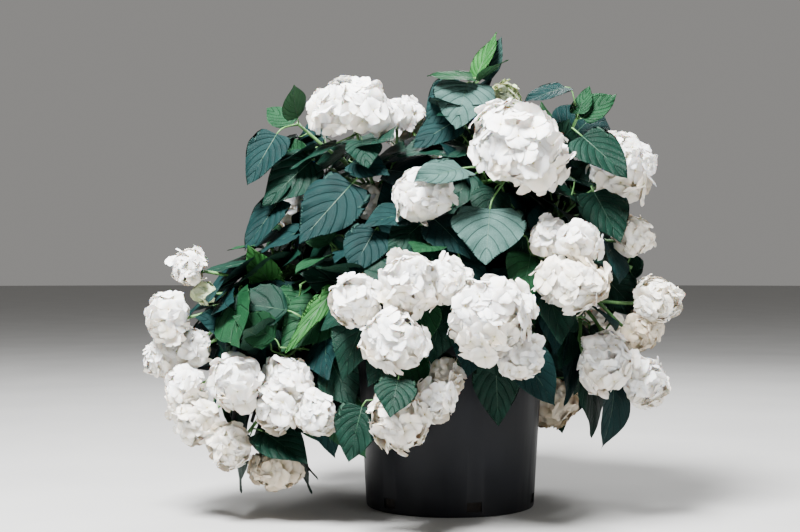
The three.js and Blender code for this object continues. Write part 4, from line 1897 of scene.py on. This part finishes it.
# The finishes of the canes, stems, ribs, flower stalks, eyes, mix and chips: name, dark, light,
# blotch, grain, depth, roughness, and strength where it isn't a half.
BARK = GrownFinish(
    "cane_bark", (0.085, 0.052, 0.03), (0.25, 0.175, 0.105), 60.0, 420.0, 0.0008, 0.82
)
GREEN_STEM = GrownFinish(
    "green_stem", (0.045, 0.14, 0.032), (0.1, 0.24, 0.065), 90.0, 700.0, 0.0003, 0.5, 0.3
)
LEAF_RIB = GrownFinish(
    "leaf_rib", (0.012, 0.045, 0.022), (0.025, 0.075, 0.038), 60.0, 700.0, 0.0002, 0.5, 0.2
)
FLOWER_STALK = GrownFinish(
    "flower_stalk", (0.3, 0.36, 0.18), (0.42, 0.48, 0.27), 70.0, 600.0, 0.0002, 0.6, 0.2
)
FLORET_EYE = GrownFinish(
    "floret_eye", (0.45, 0.4, 0.16), (0.66, 0.62, 0.36), 300.0, 900.0, 0.0001, 0.6, 0.2
)
MIX = GrownFinish(
    "bark_mix", (0.005, 0.0034, 0.0026), (0.02, 0.013, 0.0085), 55.0, 260.0, 0.002, 0.92, 0.8
)
BARK_CHIP = GrownFinish(
    "bark_chip", (0.03, 0.018, 0.011), (0.12, 0.07, 0.04), 45.0, 300.0, 0.001, 0.86
)


# The pieces


def dress(piece: Piece, material: Material, nodes: Iterable[str] = ()) -> Piece:
    """Give a piece its material, and let it ride on the root.

    Args:
        piece: The piece.
        material: Its material.
        nodes: The CAD nodes that it stands for.

    Returns:
        The piece.
    """
    piece.data.materials.append(material)
    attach(piece, "root")
    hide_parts(*nodes)
    return piece


def alone(piece: Piece) -> None:
    """Select a piece alone and make it the active one.

    Args:
        piece: The piece.
    """
    bpy.ops.object.select_all(action="DESELECT")
    piece.select_set(True)
    bpy.context.view_layer.objects.active = piece


@dataclass
class NurseryPot:
    """The black nursery pot: a turned wall with a rolled rim and square drain holes.

    The profile is the radius and height of the wall, up its outside and down its inside.
    """

    foot_radius: float = 0.147
    sides: int = 96
    profile: tuple[tuple[float, float], ...] = (
        (0.1492, 0.0008),
        (0.1502, 0.003),
        (0.16656, 0.276),
        (0.1694, 0.2772),
        (0.1712, 0.2805),
        (0.1719, 0.2945),
        (0.1725, 0.2985),
        (0.1712, 0.3),
        (0.1652, 0.3),
        (0.1636, 0.2988),
        (0.16336, 0.276),
        (0.1472, 0.0062),
        (0.1462, 0.005),
    )
    holes: int = 6
    hole_width: float = 0.027
    hole_height: float = 0.017
    hole_depth: float = 0.0192
    hole_corner: float = 0.0022
    hole_sill: float = 0.009
    first_bearing: float = -46.0

    def build(self) -> Piece:
        """Turn the wall up from a disc, cut the drain holes and dress it.

        Returns:
            The pot.
        """
        bpy.ops.object.select_all(action="DESELECT")
        bpy.ops.mesh.primitive_circle_add(
            vertices=self.sides, radius=self.foot_radius, fill_type="NGON"
        )
        pot = bpy.context.object
        pot.name = "nursery_pot"
        bpy.ops.object.mode_set(mode="EDIT")
        bpy.ops.mesh.select_all(action="SELECT")
        radius, height = self.foot_radius, 0.0
        for next_radius, next_height in self.profile:
            bpy.ops.mesh.extrude_region_move(
                TRANSFORM_OT_translate={"value": (0, 0, next_height - height)}
            )
            share = next_radius / radius
            bpy.ops.transform.resize(value=(share, share, 1))
            radius, height = next_radius, next_height
        bpy.ops.mesh.select_all(action="SELECT")
        bpy.ops.mesh.normals_make_consistent(inside=False)
        bpy.ops.object.mode_set(mode="OBJECT")
        for i in range(self.holes):
            self.cut_hole(pot, math.radians(self.first_bearing + 360 / self.holes * i))
        alone(pot)
        bpy.ops.object.shade_smooth_by_angle(angle=math.radians(35))
        return dress(pot, PotFinish().material(), ["pot"])

    def cut_hole(self, pot: Piece, turn: float) -> None:
        """Cut one drain hole with slightly rounded corners.

        Args:
            pot: The pot.
            turn: Bearing of the hole from the front.
        """
        x, y = math.sin(turn) * self.foot_radius, -math.cos(turn) * self.foot_radius
        middle = self.hole_sill + self.hole_height / 2
        bpy.ops.object.select_all(action="DESELECT")
        bpy.ops.mesh.primitive_cube_add(size=1, location=(x, y, middle), rotation=(0, 0, turn))
        cutter = bpy.context.object
        cutter.scale = (self.hole_width, self.hole_depth, self.hole_height)
        bpy.ops.object.transform_apply(location=True, rotation=True, scale=True)
        bevel = cutter.modifiers.new("corners", "BEVEL")
        bevel.width, bevel.segments = self.hole_corner, 2
        bpy.ops.object.modifier_apply(modifier="corners")
        alone(pot)
        cut = pot.modifiers.new("drain", "BOOLEAN")
        cut.operation, cut.object, cut.solver = "DIFFERENCE", cutter, "EXACT"
        bpy.ops.object.modifier_apply(modifier="drain")
        bpy.data.objects.remove(cutter)


@dataclass
class PottingMix:
    """The filling of the pot: a crumbly mound of bark mix, with loose chips on it."""

    radius: float = 156.0
    wall_radius: float = 161.4
    foot_radius: float = 146.0
    top: float = 268.0
    foot: float = 6.0
    ripples: tuple[tuple[float, float], ...] = ((0.04, 1.5), (0.11, 1.2), (0.3, 0.8), (0.7, 0.5))
    rings: int = 40
    sides: int = 96
    chips: int = 320
    chip_reach: float = 148.0
    seed: int = 31

    def level(self, x: Point, y: Point) -> Point:
        """Give the height of the crumbly surface.

        Args:
            x: Places to the right of the axis.
            y: Places behind it.

        Returns:
            The height at each place.
        """
        waves = 0.0
        rng = np.random.default_rng(self.seed)
        for scale, height in self.ripples:
            for k, angle in enumerate(rng.uniform(0, 2 * math.pi, 4)):
                way = x * math.cos(angle) + y * math.sin(angle)
                waves = waves + 0.4 * height * np.sin(way * scale + 2.1 * k + angle)
        return self.top + waves

    def level_at(self, x: float, y: float) -> float:
        """Give the height of the surface at one place."""
        return float(self.level(np.array(x), np.array(y)))

    def faces(self, bands: int) -> list[Face]:
        """Give the mound's faces: a fan on top, bands of squares, and a fan below.

        Args:
            bands: Number of its rings of points.

        Returns:
            The faces, by their points' numbers.
        """
        faces: list[Face] = []
        last = 1 + (bands - 1) * self.sides
        for k in range(self.sides):
            following = (k + 1) % self.sides
            faces.append((0, 1 + k, 1 + following))
            for start in range(1, last, self.sides):
                a, b = start + k, start + following
                faces.append((a, a + self.sides, b + self.sides, b))
            faces.append((last + self.sides, last + following, last + k))
        return faces

    def build(self) -> list[Piece]:
        """Make the mound and the chips.

        Returns:
            The two pieces.
        """
        turn = 2 * math.pi * np.arange(self.sides) / self.sides
        points = [np.array([[0.0, 0.0, self.level_at(0.0, 0.0)]])]
        for i in range(1, self.rings + 1):
            radius = self.radius * i / self.rings
            x, y = radius * np.cos(turn), radius * np.sin(turn)
            points.append(np.column_stack([x, y, self.level(x, y)]))
        shelf = 270
        walls = [(blend(self.foot_radius, self.wall_radius, z / shelf), z) for z in (200.0, 100.0)]
        walls.append((self.foot_radius, self.foot))
        for wide, height in walls:
            x, y = wide * np.cos(turn), wide * np.sin(turn)
            points.append(np.column_stack([x, y, np.full(self.sides, height)]))
        points.append(np.array([[0.0, 0.0, self.foot]]))
        heap = Heap("bark_mix_mound")
        heap.add(np.vstack(points), self.faces(self.rings + len(walls)))
        mound = dress(heap.make(), MIX.material(), ["potting_mix"])
        return [mound, self.scatter()]

    def scatter(self) -> Piece:
        """Model one rough chip and lay its copies over the mound.

        Returns:
            The chips as one piece.
        """
        bpy.ops.object.select_all(action="DESELECT")
        bpy.ops.mesh.primitive_cube_add(size=1)
        bpy.ops.object.mode_set(mode="EDIT")
        bpy.ops.mesh.subdivide(number_cuts=1, smoothness=0.35)
        bpy.ops.object.mode_set(mode="OBJECT")
        shape, faces = taken_apart(bpy.context.object)
        smallest, largest, roughness, sunk = (5, 3, 1.2), (17, 9, 3.2), 0.28, 0.6
        rng = np.random.default_rng(self.seed + 1)
        heap = Heap("bark_chips")
        for _ in range(self.chips):
            rough = shape * (1 + roughness * rng.standard_normal((len(shape), 1)).clip(-1, 1))
            size = rng.uniform(smallest, largest)
            turn, lean = rng.uniform(0, 2 * math.pi), rng.uniform(-0.35, 0.35)
            cos, sin = math.cos(lean), math.sin(lean)
            tilt = np.array([[cos, 0, sin], [0, 1, 0], [-sin, 0, cos]])
            cos, sin = math.cos(turn), math.sin(turn)
            spin = np.array([[cos, -sin, 0], [sin, cos, 0], [0, 0, 1]])
            reach, bearing = self.chip_reach * math.sqrt(rng.random()), rng.uniform(0, 2 * math.pi)
            x, y = reach * math.cos(bearing), reach * math.sin(bearing)
            centre = np.array([x, y, self.level_at(x, y) + sunk])
            heap.add(rough * size @ tilt.T @ spin.T + centre, faces)
        return dress(heap.make(smooth=False), BARK_CHIP.material())


@dataclass
class Canes:
    """The woody canes, with split bark and swollen old nodes."""

    plants: Sequence[Plant]
    sides: int = 14
    step: float = 6.0
    node_every: int = 13
    node_height: float = 0.9
    bark_depth: float = 0.32
    ridges: int = 5
    ridge_height: float = 0.5
    seed: int = 5

    def build(self) -> Piece:
        """Make all the canes and the stems at their tips.

        Returns:
            The canes as one piece.
        """
        heap = Heap("bark_canes")
        rng = np.random.default_rng(self.seed)
        turn = 2 * math.pi * np.arange(self.sides) / self.sides
        for plant in self.plants:
            far = np.arange(0, length_of(plant.cane), self.step)
            line = np.array([*(station_on(plant.cane, d)[0] for d in far), plant.cane[-1]])
            radii = blend(CANE_FOOT_RADIUS, CANE_TIP_RADIUS, np.linspace(0, 1, len(line)))
            from_node = np.arange(len(line)) % self.node_every - self.node_every // 2
            radii = radii * 0.97 + self.node_height * np.exp(-(from_node**2) / 1.6)
            bark = self.bark_depth * rng.standard_normal((len(line), self.sides))
            ridge = self.ridge_height * np.sin(self.ridges * turn + rng.uniform(0, 6))
            tube(heap, line, radii, self.sides, bark + ridge, turns=2.0)
        nodes = [f"cane_{plant.name}" for plant in self.plants]
        return dress(heap.make(), BARK.material(), nodes)


@dataclass
class GreenShoots:
    """The green stems, shoots, side twigs and leaf stalks."""

    plants: Sequence[Plant]

    def build(self) -> Piece:
        """Make all that is green and round in section.

        Returns:
            The shoots as one piece.
        """
        heap = Heap("green_shoots")
        for plant in self.plants:
            stem = np.vstack([blend(plant.root, plant.stem_tip, t) for t in np.linspace(0, 1, 5)])
            tube(heap, stem, np.linspace(4.7, 3.7, 5), 8)
            for shoot in plant.shoots:
                self.add_shoot(heap, shoot)
            for twig in plant.twigs:
                tube(heap, twig.points, np.linspace(1.9, 1.3, len(twig.points)), 5)
            for leaf in plant.leaves():
                self.add_stalk(heap, leaf)
        return dress(heap.make(), GREEN_STEM.material())

    @staticmethod
    def add_shoot(heap: Heap, shoot: Shoot) -> None:
        """Add one shoot, swollen at its nodes.

        Args:
            heap: The heap of the shoots.
            shoot: The shoot.
        """
        length = length_of(shoot.points)
        far = np.linspace(0, length, max(6, int(length / 12)))
        coarse = np.array([station_on(shoot.points, d)[0] for d in far])
        line = coarse.copy()
        line[1:-1] = 0.25 * coarse[:-2] + 0.5 * coarse[1:-1] + 0.25 * coarse[2:]
        nodes = length - first_node(shoot.end) - NODE_SPACING * np.arange(PAIRS_MOST)
        swell = np.exp(-((far[:, None] - nodes) ** 2) / 30).max(axis=1)
        tube(heap, line, np.linspace(3.4, 2.6, len(far)) + 0.8 * swell, 7)

    @staticmethod
    def add_stalk(heap: Heap, leaf: Leaf) -> None:
        """Add a leaf's stalk, bowed down a little under the blade.

        Args:
            heap: The heap of the shoots.
            leaf: The leaf.
        """
        bow = leaf.joint - leaf.direction * 0.3 * math.dist(leaf.root, leaf.joint)
        line = curve_points(leaf.root, blend(leaf.root, bow, 0.7), bow, leaf.joint, 4)
        size = min(1.15, max(0.6, leaf.length / 120))
        tube(heap, line, np.array([2.5, 1.9, 1.7, 1.6, 1.5]) * size, 5)


@dataclass
class Foliage:
    """The leaves, one piece for each green, and the ribs under and over them."""

    plants: Sequence[Plant]
    seed: int = 17

    def build(self) -> list[Piece]:
        """Make the blades and their ribs.

        Returns:
            The piece of each green, and the ribs.
        """
        rng = np.random.default_rng(self.seed)
        heaps = {tone: Heap(f"leaves_{tone.value}") for tone in LeafTone}
        faces = {kind: shape.faces() for kind, shape in LEAF_SHAPES.items()}
        for plant in self.plants:
            for leaf in plant.leaves():
                points = LEAF_SHAPES[leaf.kind].points(leaf, rng.uniform(0, 6))
                heaps[leaf.tone].add(points, *faces[leaf.kind])
        blades = [
            dress(heap.make(), LEAF_FINISHES[tone].material())
            for tone, heap in heaps.items()
            if heap.count
        ]
        return [*blades, self.build_ribs()]

    def build_ribs(self) -> Piece:
        """Make the midribs, which show pale on both sides of the blades.

        Returns:
            The ribs as one piece.
        """
        heap = Heap("leaf_ribs")
        for plant in self.plants:
            for leaf in plant.leaves():
                count = 5 if leaf.kind is LeafKind.FINE else 7
                share = np.linspace(0.0, 0.93, count)
                line = blade_points(leaf, share, np.zeros(count)) - leaf.normal * 0.35
                thick = min(1.3, max(0.6, leaf.length / 110))
                tube(heap, line, np.linspace(1.0, 0.3, count) * thick, 4)
        return dress(heap.make(), LEAF_RIB.material())


@dataclass
class FloretShape:
    """One floret: four broad, wavy sepals that overlap round a small eye."""

    seed: int
    sepal_length: float = 27.0
    sepal_half_width: float = 16.0
    along: tuple[float, ...] = (0.05, 0.32, 0.6, 0.85, 1.0)
    wide: tuple[float, ...] = (0.14, 0.7, 0.98, 0.96, 0.56)
    across: tuple[float, ...] = (-1.0, -0.5, 0.0, 0.5, 1.0)

    def build(self) -> tuple[Point, list[Face], list[Marks]]:
        """Model the floret about the origin, facing up.

        Returns:
            Its points, faces and UV places.
        """
        rng = np.random.default_rng(self.seed)
        bodies = [self.sepal(number, rng) for number in range(4)]
        faces, marks = [], []
        rows, columns = len(self.along), len(self.across)
        for sepal, row, column in product(range(4), range(rows - 1), range(columns - 1)):
            a = (sepal * rows + row) * columns + column
            faces.append((a, a + columns, a + columns + 1, a + 1))
            left, right = column / (columns - 1), (column + 1) / (columns - 1)
            low, high = row / (rows - 1), (row + 1) / (rows - 1)
            marks.append(((left, low), (left, high), (right, high), (right, low)))
        return np.vstack(bodies), faces, marks

    def sepal(self, number: int, rng: np.random.Generator) -> Point:
        """Model one sepal, cupped or bent back, and ruffled.

        Args:
            number: Its number round the floret. Odd ones lie over even ones.
            rng: Source of random numbers.

        Returns:
            Its points, row by row.
        """
        length = self.sepal_length * rng.uniform(0.86, 1.1)
        half = self.sepal_half_width * rng.uniform(0.88, 1.12)
        cup, back = rng.uniform(0.0, 6.0), rng.uniform(0.0, 6.0)
        phase, ruffle = rng.uniform(0, 6), rng.uniform(0.6, 1.9)
        t, s = np.meshgrid(self.along, self.across, indexing="ij")
        x = t * length * (1 - 0.17 * s**2 * t)
        y = s * half * np.array(self.wide)[:, None]
        z = cup * np.sin(2.0 * t) - back * t**3 + rng.uniform(-2.5, 3.0) * s**2 * t
        z = z + ruffle * np.sin(3.0 * s + phase + 2.6 * t) * t
        z = z + (1.3 if number % 2 else -0.5) * np.minimum(1.0, 3 * t)
        x = x + rng.uniform(-0.9, 0.9, x.shape) * t
        turn = math.pi / 2 * number + rng.uniform(-0.14, 0.14)
        cos, sin = math.cos(turn), math.sin(turn)
        return np.column_stack([
            (x * cos - y * sin).ravel(), (x * sin + y * cos).ravel(), z.ravel()
        ])


@dataclass
class FlowerHeads:
    """The flower heads: florets over a deeper layer of florets, their eyes, and the stalks beneath.
    """

    plants: Sequence[Plant]
    shapes: int = 10
    coverage: float = 2.6
    inner_share: float = 0.35
    inner_depth: float = 0.7
    branches: int = 11
    seed: int = 23

    def build(self) -> list[Piece]:
        """Make the florets, their eyes and the stalks, and let the florets stand for the masses.

        Returns:
            The petals of each white in front and behind, the eyes, and the stalks.
        """
        shapes = [FloretShape(seed).build() for seed in range(self.shapes)]
        bud, bud_faces = self.eye_shape()
        rng = np.random.default_rng(self.seed)
        petals = {
            (tone, half): Heap(f"petals_{tone.value}_{half}")
            for tone, half in product(HeadTone, ("front", "back"))
        }
        eyes, stalks = Heap("floret_eyes"), Heap("flower_stalks")
        for plant in self.plants:
            for shoot in plant.headed:
                tone = self.tone_of(plant, shoot)
                # Florets deep in a head or low on it take the cream, a painted shade.
                inside = HeadTone.CREAM if tone is HeadTone.WHITE else tone
                self.add_core(stalks, shoot)
                for centre, frame, size, shaded in self.places_on(shoot, rng):
                    points, faces, marks = shapes[rng.integers(len(shapes))]
                    heap = petals[inside if shaded else tone, plant.half]
                    heap.add(points * size @ frame + centre, faces, marks)
                    eyes.add(bud * size @ frame + centre, bud_faces)
        whites = {tone: finish.material() for tone, finish in PETAL_FINISHES.items()}
        made = {
            (tone, half): dress(heap.make(), whites[tone])
            for (tone, half), heap in petals.items()
            if heap.count
        }
        for plant in self.plants:
            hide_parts(f"mass_{plant.name}")
        return [
            *made.values(),
            dress(eyes.make(), FLORET_EYE.material()),
            dress(stalks.make(), FLOWER_STALK.material()),
        ]

    @staticmethod
    def tone_of(plant: Plant, shoot: Shoot) -> HeadTone:
        """Give a head's white: as planned, or the cream of painted shade low down at the back."""
        creamy = shoot.end.tone is HeadTone.WHITE and plant.name.startswith("back_low")
        return HeadTone.CREAM if creamy else shoot.end.tone

    @staticmethod
    def eye_shape() -> tuple[Point, list[Face]]:
        """Model the small bud in the middle of a floret.

        Returns:
            Its points and faces.
        """
        half_width, half_height, raised = 1.7, 1.4, 1.7
        bpy.ops.object.select_all(action="DESELECT")
        bpy.ops.mesh.primitive_ico_sphere_add(subdivisions=1, radius=1)
        shape, faces = taken_apart(bpy.context.object)
        return shape * np.array([half_width, half_width, half_height]) + raised * UP, faces

    def places_on(
        self, shoot: Shoot, rng: np.random.Generator
    ) -> Iterable[tuple[Point, Point, float, bool]]:
        """Spread the florets over a head with lumps in it, and fewer of them under the outer ones.

        Args:
            shoot: The head's shoot.
            rng: Source of random numbers.

        Yields:
            The centre, the frame and the size of each floret, and whether it lies deep or low,
            where it takes the cream of painted shade.
        """
        width = shoot.end.width
        size = float(np.interp(width, [46, 80, 120, 184], [0.54, 0.68, 0.8, 1.02]))
        floret_width, filled, fewest = 52, 0.72, 7
        dome = math.pi * width**2 * 0.62
        outer = max(fewest, round(self.coverage * dome / (filled * (floret_width * size) ** 2)))
        inner = round(self.inner_share * outer)
        level, other = square_to(shoot.facing)
        axes = rng.normal(0, 1, (3, 3))
        axes /= np.linalg.norm(axes, axis=1)[:, None]
        phases = rng.uniform(0, 6, 3)
        upright, golden_turn, sunk = 0.7, math.pi * (3 - math.sqrt(5)), 8.0 * size
        lowest = -0.32 if shoot.facing[2] > upright else -0.74
        for count, depth in ((outer, 1.0), (inner, self.inner_depth)):
            tall = 1 - (1 - lowest) * (np.arange(count) + 0.5) / count
            turn = np.arange(count) * golden_turn + rng.uniform(0, 6)
            for up, angle in zip(tall, turn, strict=True):
                up = float(np.clip(up + rng.normal(0, 0.06), lowest - 0.08, 1))
                flat = math.sqrt(1 - up * up)
                way = level * math.cos(angle) + other * math.sin(angle)
                way = shoot.facing * up + way * flat
                lump = 0.955 + 0.055 * float(np.sin(4.2 * axes @ way + phases).sum())
                reach = depth * lump * float(head_reach(width, up)) * rng.uniform(0.88, 1.03)
                normal = unit(way + rng.normal(0, 0.32, 3))
                first = unit(flattened(rng.normal(0, 1, 3), normal))
                frame = np.vstack([first, np.cross(normal, first), normal])
                centre = shoot.end.centre + way * shoot.end.squat * (reach - sunk)
                # Deep and downward florets get the cream of painted shade.
                shaded = depth < 1 or way[2] < rng.uniform(-0.5, -0.1)
                yield centre, frame, size * rng.uniform(0.84, 1.12), shaded

    def add_core(self, heap: Heap, shoot: Shoot) -> None:
        """Add the branched stalks under a head, from the shoot's tip out to its florets.

        Args:
            heap: The heap of the stalks.
            shoot: The head's shoot.
        """
        width, root = shoot.end.width, shoot.points[-1]
        level, other = square_to(shoot.facing)
        bend = blend(root, shoot.end.centre, 0.7)
        radii = np.linspace(2.1, 1.0, 5) * (0.6 + width / 300)
        highest, lowest, turn, within = 0.95, -0.3, 2.4, 0.8
        for i, up in enumerate(np.linspace(highest, lowest, self.branches)):
            flat = math.sqrt(max(0.0, 1 - up * up))
            angle = i * turn
            way = shoot.facing * up + (level * math.cos(angle) + other * math.sin(angle)) * flat
            tip = shoot.end.centre + way * shoot.end.squat * float(head_reach(width, up)) * within
            tube(heap, curve_points(root, bend, blend(bend, tip, 0.4), tip, 4), radii, 4)


# The stage


@dataclass(frozen=True)
class Lamp:
    """One soft square light: its name, place, side in metres and power in watts."""

    name: str
    place: tuple[float, float, float]
    side: float
    power: float

    def hang(self, middle: Vector) -> None:
        """Hang the lamp.

        Args:
            middle: The place that it looks at.
        """
        data = bpy.data.lights.new(self.name, "AREA")
        data.size, data.energy = self.side, self.power
        lamp = bpy.data.objects.new(self.name, data)
        lamp.location = self.place
        aim = middle - Vector(self.place)
        lamp.rotation_euler = aim.to_track_quat("-Z", "Y").to_euler()
        bpy.context.scene.collection.objects.link(lamp)


@dataclass
class Studio:
    """A pale floor, plain soft light, and the camera at the photograph's place."""

    camera_place: tuple[float, float, float] = (-0.09, -2.6, 0.428)
    lens: float = 65.0
    sensor: float = 36.0
    lamps: tuple[Lamp, ...] = (
        Lamp("key", (-0.9, -1.5, 3.0), 1.1, 780.0),
        Lamp("fill", (2.4, -1.9, 1.3), 2.0, 24.0),
        Lamp("back", (0.6, 2.2, 2.6), 1.4, 120.0),
    )
    middle: tuple[float, float, float] = (0.0, 0.0, 0.42)

    def build(self) -> None:
        """Set the stage."""
        self.floor()
        self.camera()
        for lamp in self.lamps:
            lamp.hang(Vector(self.middle))
        world = bpy.data.worlds.new("soft_room")
        world.use_nodes = True
        sky = world.node_tree.nodes["Background"]
        sky.inputs["Color"].default_value = (0.9, 0.88, 0.85, 1.0)
        sky.inputs["Strength"].default_value = 0.3
        bpy.context.scene.world = world

    @staticmethod
    def floor() -> None:
        """Lay the pale floor."""
        bpy.ops.object.select_all(action="DESELECT")
        bpy.ops.mesh.primitive_circle_add(vertices=96, radius=30, fill_type="NGON")
        floor = bpy.context.object
        floor.name = "pale_floor"
        material, tree, shader = new_material("pale_floor")
        tissue = tree.group(
            mottle_group(), Dark=(0.37, 0.37, 0.365), Light=(0.4, 0.4, 0.394), Scale=3.0
        )
        tree.feed(shader.inputs["Base Color"], tissue.outputs["Colour"])
        shader.inputs["Roughness"].default_value = 0.8
        floor.data.materials.append(material)

    def camera(self) -> None:
        """Place the level camera."""
        data = bpy.data.cameras.new("photo_camera")
        data.lens, data.sensor_width = self.lens, self.sensor
        camera = bpy.data.objects.new("photo_camera", data)
        camera.location = self.camera_place
        camera.rotation_euler = (math.radians(90), 0, 0)
        bpy.context.scene.collection.objects.link(camera)
        bpy.context.scene.camera = camera


def main() -> None:
    """Build the looks in order."""
    logging.basicConfig(level=logging.INFO, format="%(name)s: %(message)s")
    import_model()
    Studio().build()

    growth = Growth(MASSES)
    plants = growth.grow()
    log.info("grown: %d leaves", sum(len(plant.leaves()) for plant in plants))
    log.info("fine growth: %d leaves", FineGrowth(growth).grow())

    pieces = [
        NurseryPot().build(),
        *PottingMix().build(),
        Canes(plants).build(),
        GreenShoots(plants).build(),
        *Foliage(plants).build(),
        *FlowerHeads(plants).build(),
    ]
    for piece in pieces:
        log.info("%s: %d faces", piece.name, len(piece.data.polygons))


if __name__ == "__main__":
    main()
